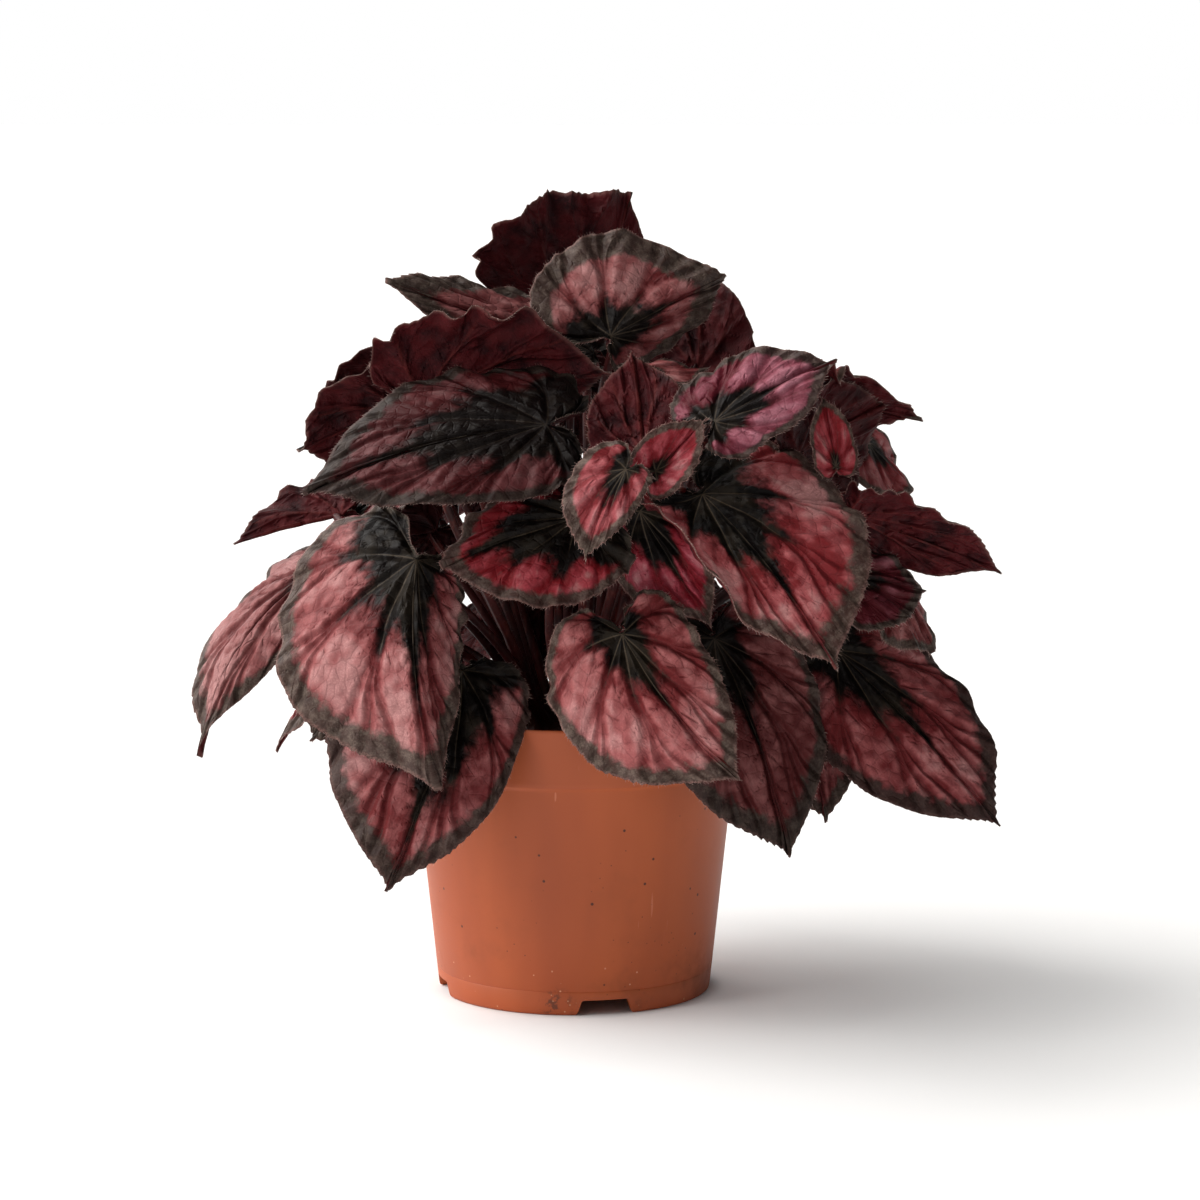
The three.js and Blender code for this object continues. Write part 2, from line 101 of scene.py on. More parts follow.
class Net:
    """A node graph that is filled from Python expressions."""

    def __init__(self, tree):
        self.tree = tree

    def node(self, kind, settings=None, values=None, out=0):
        """Any node: its settings first, then the values or wires of its sockets."""
        made = self.tree.nodes.new(kind)
        for key, value in (settings or {}).items():
            setattr(made, key, value)
        for key, value in (values or {}).items():
            self.plug(self.socket(made.inputs, key), value)
        return Wire(self, self.socket(made.outputs, out)) if made.outputs else made

    @staticmethod
    def socket(sockets, key):
        """The socket with this number, identifier or name."""
        if isinstance(key, int):
            return sockets[key]
        for one in sockets:
            if one.identifier == key or (one.name == key and one.enabled):
                return one
        raise KeyError(key)

    def plug(self, socket, value):
        if isinstance(value, Wire):
            self.tree.links.new(value.socket, socket)
        else:
            socket.default_value = value

    def math(self, operation, first, second=0.0):
        return self.node("ShaderNodeMath", {"operation": operation}, {0: first, 1: second})

    def least(self, first, second):
        return self.math("MINIMUM", first, second)

    def step(self, value, low, high):
        """0 below low, 1 above high, and a soft rise between them."""
        return self.node("ShaderNodeMapRange", {"interpolation_type": "SMOOTHSTEP"},
                         {"Value": value, "From Min": low, "From Max": high})

    def fade(self, value, low, high):
        """1 below low, 0 above high, and a soft fall between them."""
        return 1 - self.step(value, low, high)

    def between(self, value, low, high):
        """A value from 0 to 1, laid out between low and high."""
        return self.node("ShaderNodeMapRange", {}, {"Value": value, "To Min": low, "To Max": high})

    def mix(self, share, first, second, blend="MIX"):
        """A mix of two colours."""
        return self.node("ShaderNodeMix", {"data_type": "RGBA", "blend_type": blend},
                         {"Factor_Float": share, "A_Color": first, "B_Color": second}, out="Result_Color")

    def measure(self, name):
        """A number that the mesh carries at each point."""
        return self.node("ShaderNodeAttribute", {"attribute_name": name}, out="Fac")

    def measures(self, names):
        """One wire for each name."""
        return [self.measure(name) for name in names]

    def here(self):
        """The point's own place in the shared frame."""
        return self.node("ShaderNodeTexCoord", out="Object")

    def height(self, vector):
        """The upright part of a vector."""
        return self.node("ShaderNodeSeparateXYZ", {}, {"Vector": vector}, out="Z")

    def stretched(self, vector, scale, rotation=(0.0, 0.0, 0.0)):
        return self.node("ShaderNodeMapping", {}, {"Vector": vector, "Rotation": rotation, "Scale": scale})

    def vectors(self, operation, first, second, out="Vector"):
        return self.node("ShaderNodeVectorMath", {"operation": operation}, {0: first, 1: second}, out)

    def distance(self, first, second):
        return self.vectors("DISTANCE", first, second, "Value")

    def noise(self, where, scale, detail=3.0, rough=0.55):
        return self.node("ShaderNodeTexNoise", {}, {
            "Vector": where, "Scale": scale, "Detail": detail, "Roughness": rough}, out="Fac")

    def cells(self, where, scale, feature="F1"):
        return self.node("ShaderNodeTexVoronoi", {"feature": feature},
                         {"Vector": where, "Scale": scale}, out="Distance")

    def bump(self, height, strength, distance):
        return self.node("ShaderNodeBump", {}, {
            "Height": height, "Strength": strength, "Distance": distance}, out="Normal")

    def dress(self, **sockets):
        """Fills sockets of the Principled shader. An underscore stands for a space in a socket's name."""
        for key, value in sockets.items():
            self.plug(self.surface.inputs[key.replace("_", " ")], value)


def rgb(red, green, blue):
    """A colour picked on a screen, 0 to 255, as the linear light that Blender mixes."""
    return tuple(((c / 255 + 0.055) / 1.055) ** 2.4 if c > 10 else c / 255 / 12.92
                 for c in (red, green, blue)) + (1.0,)


def grey(level):
    return (level, level, level, 1.0)


def new_finish(name):
    """A material with a Principled shader, and the net that feeds it."""
    finish = bpy.data.materials.new(name)
    finish.use_nodes = True
    tree = finish.node_tree
    tree.nodes.clear()
    net = Net(tree)
    net.surface = tree.nodes.new("ShaderNodeBsdfPrincipled")
    end = tree.nodes.new("ShaderNodeOutputMaterial")
    tree.links.new(net.surface.outputs["BSDF"], end.inputs["Surface"])
    return finish, net


print("node kit ready")

# %% Objects
def put(name, data):
    """A new object in the scene that shows this mesh, light or camera."""
    made = bpy.data.objects.new(name, data)
    bpy.context.scene.collection.objects.link(made)
    return made


def settle(made):
    """The mesh that the object's modifiers lead to. The modifiers are then removed."""
    shown = made.evaluated_get(bpy.context.evaluated_depsgraph_get())
    mesh = bpy.data.meshes.new_from_object(shown)
    made.modifiers.clear()
    return mesh


def world(points):
    """Millimetres from the pot's axis to metres in the shared frame."""
    return np.asarray(points) * MM + np.array([POT_AXIS[0], POT_AXIS[1], 0.0])


def make_object(name, points, faces, finishes, smooth=True):
    """A mesh object at the origin, with its place in its points."""
    mesh = bpy.data.meshes.new(name)
    mesh.from_pydata(world(points).tolist(), [], faces, shade_flat=not smooth)
    for finish in finishes:
        mesh.materials.append(finish)
    return put(name, mesh)


print("object kit ready")

# %% [markdown]
# ## The camera
#
# The photograph was taken from a little above the leaves with a long lens, so the pot hardly tapers
# by perspective. The camera is set first, so that every later piece can be judged through it.

# %% Camera at the photograph's angle
CAMERA_DISTANCE = 1.4
CAMERA_HEIGHT = 0.32
CAMERA_ASIDE = 0.0093
CAMERA_DIP = math.radians(7.24)
LENS = 117.0
SENSOR = 36.0

camera = put("camera", bpy.data.cameras.new("camera"))
camera.data.lens = LENS
camera.data.sensor_width = SENSOR
camera.location = (POT_AXIS[0] + CAMERA_ASIDE, POT_AXIS[1] - CAMERA_DISTANCE, CAMERA_HEIGHT)
camera.rotation_euler = (math.pi / 2 - CAMERA_DIP, 0, 0)
bpy.context.scene.camera = camera
print("camera at", tuple(round(v, 3) for v in camera.location))

# %% [markdown]
# ## The leaf table
#
# Every leaf is one line, in millimetres from the pot's axis: the foot of its midrib, its tip, the way
# its face looks and its two half widths, then how it arches, folds, curls, bows and waves where it
# isn't plain. The far half of the plant follows a rule, as leaves really stand: in three tiers like
# shingles, each with its leaves turned a little to one side.

# %% Rows of leaves
LEAVES = []
DROOP = (-25, -25)


def leaf(name, foot, tip, face, half, arch=20, fold=(0, 0), curl=(-15, -15), bow=0, wave=1.5):
    """One leaf: its foot and tip, azimuth and elevation of its face, half widths, and how it bends."""
    LEAVES.append((name, foot, tip, face, half, arch, fold, curl, bow, wave))


leaf("front_center", (17, -84, 141), (57, -92, 92), (-8, 22), (35, 23), 35, curl=DROOP, bow=0.05)
leaf("left_drape", (-54, -62, 164), (-46, -88, 88), (-18, 15), (57, 26),
     40, fold=(0, -60), curl=(-25, -20), bow=0.02)
leaf("far_left", (-91, -18, 156), (-134, -30, 90), (-55, 35), (36, 18),
     35, fold=(0, -20), curl=DROOP, bow=0.08)
leaf("low_left", (-39, -52, 124), (-64, -77, 50), (-8, 12), (44, 27), 35, curl=DROOP, bow=-0.03)
leaf("right_low", (93, -40, 129), (150, -55, 69), (30, 25), (34, 34), 35, curl=DROOP, bow=0.03)
leaf("low_mid", (49, -58, 136), (75, -70, 61), (0, 15), (34, 27), 35, curl=DROOP, bow=-0.03)
leaf("right_center", (44, -86, 189), (88, -124, 135), (10, 38), (32, 45), 35, fold=(-15, 0), curl=(90, -20))
leaf("small_center", (18, -112, 200), (4, -118, 171), (-10, 20), (16, 10),
     fold=(5, 5), curl=DROOP, bow=0.04, wave=1)
leaf("young_center", (28, -98, 198), (45, -102, 216), (0, 15), (12, 12),
     10, fold=(45, 45), curl=DROOP, wave=1)
leaf("left_big", (-9, -80, 212), (-91, -90, 190), (-10, 45), (38, 27), 35, curl=DROOP)
leaf("left_back_up", (-51, -46, 219), (13, -50, 229), (180, 25), (33, 22), 10)
leaf("upper_left", (7, -28, 233), (-66, -40, 259), (-10, 60), (36, 16), 15, curl=DROOP, bow=-0.06)
leaf("top_back", (-4, 18, 248), (20, 46, 288), (175, 25), (40, 23), curl=DROOP, bow=-0.12, wave=2)
leaf("upper_center", (13, -42, 240), (54, -14, 259), (25, 30), (16, 37), fold=(-10, 0), curl=(-60, -15))
leaf("pink_right", (48, -90, 214), (89, -80, 235), (0, 45), (17, 22), 15, wave=1.2)
leaf("right_top_tip", (77, -52, 225), (123, -20, 209), (170, 40), (14, 10), bow=-0.05)
leaf("right_long", (95, -62, 181), (151, -35, 155), (165, 40), (20, 17), bow=-0.03)
leaf("right_purple", (94, -64, 158), (123, -50, 152), (20, 45), (20, 16))
leaf("right_pale", (111, -36, 155), (127, -34, 127), (60, 35), (26, 20))
leaf("center_red", (1, -78, 180), (-45, -84, 164), (-5, 40), (22, 30))
leaf("center_upright", (23, -72, 182), (48, -66, 141), (-10, 5), (20, 14))
leaf("red_young", (90, -70, 197), (86, -60, 220), (10, 10), (8, 8), 10, fold=(20, 20), wave=1)
leaf("left_top_a", (-60, -33, 214), (-97, -36, 200), (180, 30), (20, 22))
leaf("left_top_b", (-58, -22, 222), (-91, -20, 210), (180, 30), (16, 20))
leaf("left_rolled", (-84, 2, 173), (-124, 8, 161), (200, 30), (16, 16), fold=(60, 60), curl=(30, 30))
leaf("low_right_small", (80, -35, 114), (90, -42, 68), (10, 10), (18, 18))
leaf("center_back", (24, -84, 202), (20, -64, 236), (180, 20), (18, 18), 10)
leaf("center_top_edge", (24, -55, 229), (47, -46, 228), (0, 70), (11, 11), 10, wave=1)
leaf("upper_right_dark", (44, -6, 225), (33, 10, 264), (170, 10), (21, 24), 10)
leaf("right_edge_on", (105, -10, 200), (122, 2, 182), (80, 20), (24, 24), 10)
leaf("right_maroon", (78, -52, 200), (109, -34, 216), (170, 30), (22, 26), 10)
leaf("low_left_small", (-73, -25, 124), (-94, -25, 94), (-30, 10), (20, 20), 10)
leaf("inner_top", (-4, 4, 226), (-6, 22, 186), (180, 25), (20, 20), curl=(-20, -20))
leaf("inner_left_high", (-38, -6, 201), (-84, -7, 187), (170, 65), (18, 18), 25, curl=DROOP)
leaf("inner_left_low", (-50, -2, 168), (-94, 4, 122), (190, 20), (22, 20), 25, curl=DROOP)
leaf("inner_middle", (-10, 28, 176), (-14, 38, 106), (180, 10), (30, 30), curl=(-20, -20))
leaf("inner_right_high", (48, -4, 210), (104, 0, 196), (160, 50), (24, 26), 25, curl=DROOP)
leaf("inner_right_low", (60, 4, 166), (108, 8, 126), (110, 30), (22, 22), 25, curl=DROOP)

# Each tier: azimuth of its first leaf and step to the next, number, radius and height of the feet and
# of the tips, elevation of the face, and half width.
BACK_TIERS = {
    "back_low": (96, 36, 5, 66, 136, 122, 74, 32, 30),
    "back_mid": (104, 36, 5, 62, 186, 114, 140, 40, 30),
    "back_top": (130, 46, 3, 44, 226, 100, 202, 52, 30),
}
SHINGLE_ROLL = 22
LOPSIDED = 3


def draw(k):
    """A repeatable draw between 0 and 1."""
    value = math.sin(k * 12.9898) * 43758.5453
    return value - math.floor(value)


def from_axis(azimuth, radius, height):
    """A point round the pot's axis, in whole millimetres as in the CAD source."""
    turn = math.radians(azimuth)
    return (math.floor(radius * math.sin(turn) + 0.5), math.floor(-radius * math.cos(turn) + 0.5), height)


for t, (tier, row) in enumerate(BACK_TIERS.items()):
    first, step, count, foot_r, foot_z, tip_r, tip_z, elevation, half = row
    for i in range(count):
        seed = 20 * t + 3 * i + 1
        azimuth = first + step * i + 8 * (draw(seed) - 0.5)
        skew = 10 * (draw(seed + 0.3) - 0.5)
        out = 6 * draw(seed + 0.9)
        leaf(f"{tier}_{i + 1}", from_axis(azimuth, foot_r + out, foot_z),
             from_axis(azimuth + skew, tip_r + out, tip_z + 8 * draw(seed + 0.6)),
             (azimuth + SHINGLE_ROLL, elevation), (half + LOPSIDED, half - LOPSIDED),
             35, curl=DROOP, bow=0.02)
print(len(LEAVES), "leaves")

# %% [markdown]
# ## The blade as a bent sheet
#
# A blade is drawn flat first, as two different half hearts on either side of the midrib. Then each
# point is carried onto a bent sheet: the midrib is an arc, and each half folds and curls away from it.
# The margin also ripples up and down. The CAD solid used the same steps with far fewer points.

# %% Outline and bent sheet
# Along the margin from notch to tip: share of the half width, share of the length, and how far the lobe
# hangs back behind the foot, as a share of the half width.
HALF_OUTLINE = np.array([
    [0, 0, -0.05], [0.14, 0, -0.37], [0.42, 0, -0.53], [0.78, 0, -0.4], [0.98, 0.05, -0.08], [1, 0.24, 0],
    [0.96, 0.43, 0], [0.82, 0.6, 0], [0.55, 0.76, 0], [0.25, 0.88, 0], [0.075, 0.945, 0], [0, 1, 0]])
NOTCH_EASE = 0.95
WAVES = 6
LEAF_SHIFT, SIDE_SHIFT = 2.4, 1.9   # so that no two leaves or halves ripple alike
FLATTEST = 1e-3                     # radians of curl, where the row says none


def smooth_curve(points, t):
    """A smooth curve through the points, at each t from 0 to 1."""
    place = np.clip(t, 0, 1) * (len(points) - 1)
    whole = np.minimum(place.astype(int), len(points) - 2)
    w = (place - whole)[..., None]
    p0 = points[np.maximum(whole - 1, 0)]
    p1, p2 = points[whole], points[whole + 1]
    p3 = points[np.minimum(whole + 2, len(points) - 1)]
    v0, v1 = (p2 - p0) / 2, (p3 - p1) / 2
    return (2 * p1 - 2 * p2 + v0 + v1) * w ** 3 + (3 * p2 - 3 * p1 - 2 * v0 - v1) * w ** 2 + v0 * w + p1


class Blade:
    """Where one leaf sits and how it is bent."""

    def __init__(self, row, index):
        (self.name, foot, tip, (az, el), self.half, arch,
         self.fold, self.curl, self.bow, self.wave) = row
        self.index = index
        self.foot = np.array(foot, float)
        chord = np.array(tip, float) - self.foot
        reach = np.linalg.norm(chord)
        chord = chord / reach
        az, el = math.radians(az), math.radians(el)
        hint = np.array([math.sin(az) * math.cos(el), -math.cos(az) * math.cos(el), math.sin(el)])
        face = hint - chord * hint.dot(chord)
        face = face / np.linalg.norm(face)
        self.arch = math.radians(arch)
        self.length = reach * self.arch / 2 / math.sin(self.arch / 2)
        bend = self.arch / 2
        self.along = math.cos(bend) * chord + math.sin(bend) * face
        self.up = math.cos(bend) * face - math.sin(bend) * chord
        self.right = np.cross(self.along, self.up)

    def outline(self, side, u):
        """The flat margin of one half at u, from 0 in the notch to 1 at the tip."""
        width = self.half[side]
        wide = max(self.half)
        points = np.stack([HALF_OUTLINE[:, 0] * width,
                           HALF_OUTLINE[:, 1] * self.length + HALF_OUTLINE[:, 2] * width * width / wide], 1)
        return smooth_curve(points, np.clip(u, 0, 1) ** NOTCH_EASE)

    def bent(self, x, y, s, side):
        """The place of the flat point x, y on one half of the bent sheet."""
        width = self.half[side]
        turn = math.radians(self.curl[side]) or FLATTEST
        start = math.radians(self.fold[side])
        end = start + turn * x / width
        ripple = self.wave * s * s * np.sin(
            WAVES * np.arctan2(x, y) + LEAF_SHIFT * self.index + SIDE_SHIFT * side)
        rise = -width / turn * (np.cos(end) - math.cos(start)) + ripple
        t = y / self.length
        across = (1 if side == 0 else -1) * width / turn * (np.sin(end) - math.sin(start))
        across = across + self.bow * self.length * 4 * t * (1 - np.clip(t, 0, 1))
        q = self.arch * t
        radius = self.length / self.arch
        up = np.cos(q)[..., None] * self.up + np.sin(q)[..., None] * self.along
        return (self.foot + (radius * np.sin(q))[..., None] * self.along
                - (radius * (1 - np.cos(q)))[..., None] * self.up
                + across[..., None] * self.right + rise[..., None] * up)


BLADES = [Blade(row, i) for i, row in enumerate(LEAVES)]
print("longest blade", round(max(b.length for b in BLADES)), "mm")

# %% [markdown]
# ## Veins and quilting
#
# The main veins fan out from the foot like fingers, fork before they reach the margin and send side
# veins off at a slant. The skin between them swells up, so the upper face looks quilted and the under
# face shows the veins as ribs. The relief is worked out from each point's distance to the nearest vein.

# %% Distance to the veins, in millimetres
VEIN_PLACES = (0.13, 0.32, 0.53, 0.75, 1.0)
VEIN_SWING = 0.07
FORK_START = 0.38
FORK_FULL = 1.15
FORK_SPREAD = 0.33
SIDE_VEIN_PITCH = 7.0
VEIN_WANDER = 0.9
VEIN_JITTER = 0.03
NO_VEIN = 1e3


def soft(x, low, high):
    """0 below low, 1 above high, and a soft rise between them, as the node of that kind gives."""
    t = np.clip((x - low) / (high - low), 0, 1)
    return t * t * (3 - 2 * t)


def ray(blade, side, u, s):
    """The flat point on the line that ends at u on the margin. Lines swing towards the tip as they go."""
    base = u - VEIN_SWING * np.sin(np.pi * u) * (1 - s)
    return blade.outline(side, base) * s[..., None]


def vein_distances(blade, side, flat, s, u):
    """Distance to the nearest main vein, to the nearest fork, and to the nearest side vein."""
    seed = 31 * blade.index + 3 * side
    sway = VEIN_WANDER * s * np.sin(0.23 * flat[..., 1] + 0.11 * flat[..., 0] + seed)
    flat = flat + np.stack([sway, -0.6 * sway], -1)
    places = np.array([p + VEIN_JITTER * (draw(seed + 7 * k) - 0.5) if p < 1 else 1.0
                       for k, p in enumerate(VEIN_PLACES)])

    def gap_to(end):
        return np.linalg.norm(flat - ray(blade, side, end, s), axis=-1)

    gaps = np.stack([gap_to(np.full(s.shape, p)) for p in places])
    nearest = gaps.argmin(0)
    main = gaps.min(0)
    branch = np.full(s.shape, NO_VEIN)
    for k, place in enumerate(places):
        spread = FORK_SPREAD * soft(s, FORK_START, FORK_FULL)
        before = places[k - 1] if k else 0.0
        ends = [place - spread * (place - before)]
        if k + 1 < len(places):
            ends.append(place + spread * (places[k + 1] - place))
        for end in ends:
            branch = np.minimum(branch, np.where(s > FORK_START, gap_to(end), NO_VEIN))
    phases = np.array([[draw(seed + 5 * k + 0.3), draw(seed + 5 * k + 0.7)] for k in range(len(places))])
    phase = phases[nearest, (u > places[nearest]).astype(int)]
    radial = np.linalg.norm(flat, axis=-1)
    warp = 0.22 * np.sin(0.19 * flat[..., 0] + seed) + 0.18 * np.sin(0.27 * flat[..., 1] + 2 * seed)
    slant = (radial - 0.85 * main) / SIDE_VEIN_PITCH + phase + warp
    side_gap = (0.5 - np.abs(slant - np.floor(slant) - 0.5)) * SIDE_VEIN_PITCH + 0.09 * main
    return main, branch, side_gap


print("veins on each half:", len(VEIN_PLACES))

# %% [markdown]
# ## From sheet to leaf
#
# The sheet is a fan of rings round the foot of the midrib. The rings end in fine teeth. Both faces use
# the same rings, half the leaf's thickness apart, and a strip along the margin closes the shell. Each
# point keeps a few measures, such as its distance from a vein, which the material reads later.

# %% Teeth and scallops of the margin
TOOTH_PITCH = 3.4
TOOTH_HEIGHT = 1.05
TOOTH_RISE, TOOTH_FALL = 0.7, 0.3   # so that a tooth leans towards the tip
TOOTH_FADE = 6.0                    # millimetres from the foot, inside which teeth get smaller
SCALLOPED = ("top_back", "left_back_up", "right_top_tip")
SCALLOPS = 4.5
SCALLOP_DEPTH = 0.05
SCALLOP_MIDDLE = 0.64


def toothed(points, seed):
    """Moves the margin points in and out, as small forward-leaning teeth."""
    step = np.linalg.norm(np.diff(points, axis=0, append=points[:1]), axis=1)
    along = np.concatenate([[0], np.cumsum(step)[:-1]])
    phase = along / TOOTH_PITCH + 0.35 * np.sin(along / 9.0 + seed) + 0.2 * np.sin(along / 3.7 + 2 * seed)
    saw = phase - np.floor(phase)
    tooth = np.where(saw < TOOTH_RISE, saw / TOOTH_RISE, (1 - saw) / TOOTH_FALL) - 0.5
    size = TOOTH_HEIGHT * (0.7 + 0.5 * np.sin(along / 14.0 + 3 * seed))
    return points * (1 + tooth * size / np.maximum(np.linalg.norm(points, axis=1), TOOTH_FADE))[:, None]


def margin_pull(blade, s, signed):
    """How much each point moves away from the foot, so that the outer rings take up the cut margin."""
    reach = np.linalg.norm(signed[-1], axis=1)
    grown = np.linalg.norm(toothed(signed[-1], blade.index * 0.7 + 0.3), axis=1) / np.maximum(reach, 1e-6)
    pull = 1 + (grown - 1)[None] * soft(s, 0.9, 1.0)
    if blade.name in SCALLOPED:
        turn = np.arctan2(signed[..., 0], signed[..., 1])
        cusps = SCALLOP_MIDDLE - np.abs(np.sin(SCALLOPS * turn + blade.index))
        pull = pull * (1 + SCALLOP_DEPTH * cusps * soft(s, 0.55, 1.0))
    return pull[..., None]


print("teeth stand", TOOTH_PITCH, "mm apart")

# %% Rings of points on the flat leaf
AROUND = (1.5, 34, 132)   # steps along each half margin: to a millimetre of leaf, at least, at most
RINGS = (0.48, 12, 44)
RING_EASE = 0.92


def leaf_grid(blade):
    """Rings of points on the sheet, with what each point knows about itself."""
    detail = 1.0
    around, rings = (int(np.clip(blade.length * per_mm * detail, least, most))
                     for per_mm, least, most in (AROUND, RINGS))
    shares = (np.arange(1, rings + 1) / rings) ** RING_EASE
    s, fan = np.meshgrid(shares, np.arange(around + 1) / around, indexing="ij")
    halves = []
    for side in (0, 1):
        flat = ray(blade, side, fan, s)
        halves.append((s, flat, *vein_distances(blade, side, flat, s, fan), fan))
    sides = np.repeat((0, 1), (around + 1, around - 1))
    places = np.concatenate([np.arange(around + 1), np.arange(around - 1, 0, -1)])

    def gather(k):
        return np.stack([halves[side][k][:, place] for side, place in zip(sides, places)], 1)

    s, flat, main, branch, slant, fan = (gather(k) for k in range(6))
    flat[:, 0] = (halves[0][1][:, 0] + halves[1][1][:, 0]) / 2
    signed = flat * np.where(sides == 0, 1, -1)[None, :, None] * [1, 0] + flat * [0, 1]
    pull = margin_pull(blade, s, signed)
    return s, flat * pull, signed * pull, main, branch, slant, fan, sides


print("rings and steps of a large leaf:", leaf_grid(BLADES[0])[0].shape)

# %% Quilting, ruffles and ribs
QUILT_HEIGHT = 1.7
QUILT_SINK = 0.7
RUFFLE_HEIGHT = 1.7
RUFFLES = 17
RUFFLE_GROWTH = {**dict.fromkeys(SCALLOPED, 2.4),
                 **dict.fromkeys(("center_red", "left_rolled", "left_top_a", "left_top_b"), 1.8)}
RIB_HEIGHT = 0.7
SIDE_RIB_HEIGHT = 0.22
FULL_SIZE = 60   # millimetres, from which a leaf has its full relief


def leaf_relief(blade, s, signed, main, branch, slant):
    """How far the sheet swells at each point, and how far the ribs stand out under it."""
    size = min(1.0, blade.length / FULL_SIZE)
    x, y = signed[..., 0], signed[..., 1]
    vein = np.minimum(main, branch + 0.25)
    body = soft(s, 0.03, 0.2) * (1 - 0.75 * soft(s, 0.86, 1.0))
    puff = (1 - np.exp(-(vein / 1.9) ** 2)) * (0.78 + 0.22 * (1 - np.exp(-(slant / 1.5) ** 2)))
    lumpy = 0.75 + 0.25 * (np.sin(0.9 * x + 2 * blade.index) * np.sin(0.8 * y + blade.index))
    quilt = size * body * (QUILT_HEIGHT * puff * lumpy - QUILT_SINK)
    turn = np.arctan2(x, y)
    ruffle = RUFFLE_HEIGHT * RUFFLE_GROWTH.get(blade.name, 1.0)
    quilt = quilt + size * ruffle * s ** 4 * np.sin(RUFFLES * turn + 1.7 * blade.index) * (
        0.6 + 0.4 * np.sin(5 * turn + blade.index))
    rib = size * RIB_HEIGHT * (1 - 0.75 * s) * np.exp(-(main / (1.1 - 0.5 * s)) ** 2)
    small_vein = np.minimum(branch, slant + 0.5)
    rib = rib + size * SIDE_RIB_HEIGHT * (1 - 0.6 * s) * np.exp(-(small_vein / 0.5) ** 2)
    return quilt, rib


print("the skin swells up to", QUILT_HEIGHT, "mm")

# %% The shell of one leaf
LEAF_THICKNESS = 0.62
MARGIN_THICKNESS = 0.34
FAR = 12.0   # millimetres, past which a vein is too far off to matter
# What each point of a leaf knows: how near it is to the margin, to each kind of vein, to the notch and
# to the midrib.
MEASURES = ("margin_share", "vein_gap", "fork_gap", "slant_gap", "fan", "axis_gap")


def sheet_normals(middle, hub, quads):
    """The way that the sheet faces at each point: the sum over the faces that meet there."""
    normal = np.zeros_like(middle)
    across = np.cross(middle[quads[:, 2]] - middle[quads[:, 0]], middle[quads[:, 3]] - middle[quads[:, 1]])
    for corner in range(4):
        np.add.at(normal, quads[:, corner], across)
    across = np.cross(middle[hub[:, 1]] - middle[hub[:, 0]], middle[hub[:, 2]] - middle[hub[:, 0]])
    np.add.at(normal, hub.ravel(), np.repeat(across, 3, 0))
    return normal / np.linalg.norm(normal, axis=1)[:, None]


def flatten(grid, at_foot):
    """One value for the foot, then those of all the rings."""
    return np.concatenate([[at_foot], grid.ravel()])


def leaf_mesh(blade):
    """Points, faces and measures of one leaf."""
    s, flat, signed, main, branch, slant, fan, sides = leaf_grid(blade)
    rings, count = s.shape
    middle = np.zeros((rings, count, 3))
    for side in (0, 1):
        pick = sides == side
        middle[:, pick] = blade.bent(flat[:, pick, 0], flat[:, pick, 1], s[:, pick], side)
    middle = np.concatenate([blade.bent(*np.zeros((3, 1)), 0), middle.reshape(-1, 3)])

    this, following = np.arange(count), (np.arange(count) + 1) % count
    ring_start = 1 + np.arange(rings - 1)[:, None] * count
    inner, after = ring_start + this, ring_start + following
    quads = np.stack([inner, inner + count, after + count, after], -1).reshape(-1, 4)
    hub = np.stack([np.zeros(count, int), 1 + this, 1 + following], 1)

    normal = sheet_normals(middle, hub, quads)
    quilt, rib = leaf_relief(blade, s, signed, main, branch, slant)
    lift = flatten(quilt, 0.0)[:, None]
    half = flatten(LEAF_THICKNESS + (MARGIN_THICKNESS - LEAF_THICKNESS) * s, LEAF_THICKNESS)[:, None] / 2
    top = middle + normal * (lift + half)
    under = middle + normal * (lift - half - flatten(rib, RIB_HEIGHT)[:, None])

    total = len(middle)
    last, after_last = total - count + this, total - count + following
    rim = np.stack([last, last + total, after_last + total, after_last], 1)
    upper_faces = hub.tolist() + quads.tolist() + rim.tolist()
    faces = upper_faces + (hub[:, ::-1] + total).tolist() + (quads[:, ::-1] + total).tolist()
    plan = np.concatenate([[[0, 0]], signed.reshape(-1, 2)])
    measures = dict(zip(MEASURES, (
        flatten(s, 0.0), flatten(np.minimum(main, FAR), 0.0), flatten(np.minimum(branch, FAR), FAR),
        flatten(slant, 0.0), flatten(fan, 0.5), flatten(np.abs(flat[..., 0]), 0.0))))
    edge = (top[last] + under[last]) / 2
    outward = edge - middle[last - count]
    return np.concatenate([top, under]), faces, len(upper_faces), plan, measures, edge, outward


print("a large leaf has", len(leaf_mesh(BLADES[0])[1]), "faces")

# %% [markdown]
# ## The leaf's colours
#
# The upper face has three zones that run into each other: the dark star, the rose band and the
# grey-green margin. Their borders are broken up by noise and pushed outwards along the veins. The
# under face is plain maroon with paler ribs. Young leaves are crimson, and each leaf differs a little.
# Both faces also carry painted light: paler on the raised cushions, darker in the hollows between
# them, and darker over leaves and margins that lie in the plant's shade.

# %% What a leaf's material can read
LEAF_PLAN = "leaf_plan"
LEAF_FAN = "leaf_fan"
# Of each leaf: how crimson its rose band is, how much painted shade darkens the whole leaf, how far the
# dark star reaches, also into the two lobes beside the notch, how violet or vivid it is, how wide its
# edge is and how much painted shade darkens that edge.
TRAITS = ("blush", "painted_shade", "star_size", "lobe", "violet", "vivid", "edge_width", "edge_painted_shade")
QUILT_CELLS = 21.0

upper_face, net = new_finish("leaf upper face")
plan = net.node("ShaderNodeUVMap", {"uv_map": LEAF_PLAN})
fan_plan = net.node("ShaderNodeUVMap", {"uv_map": LEAF_FAN})
share, vein, fork, slant, fan, axis_gap = net.measures(MEASURES)
blush, painted_shade, star_size, lobe, violet, vivid, edge_width, edge_painted_shade = net.measures(TRAITS)
print("a leaf has", len(MEASURES), "measures and", len(TRAITS), "traits")

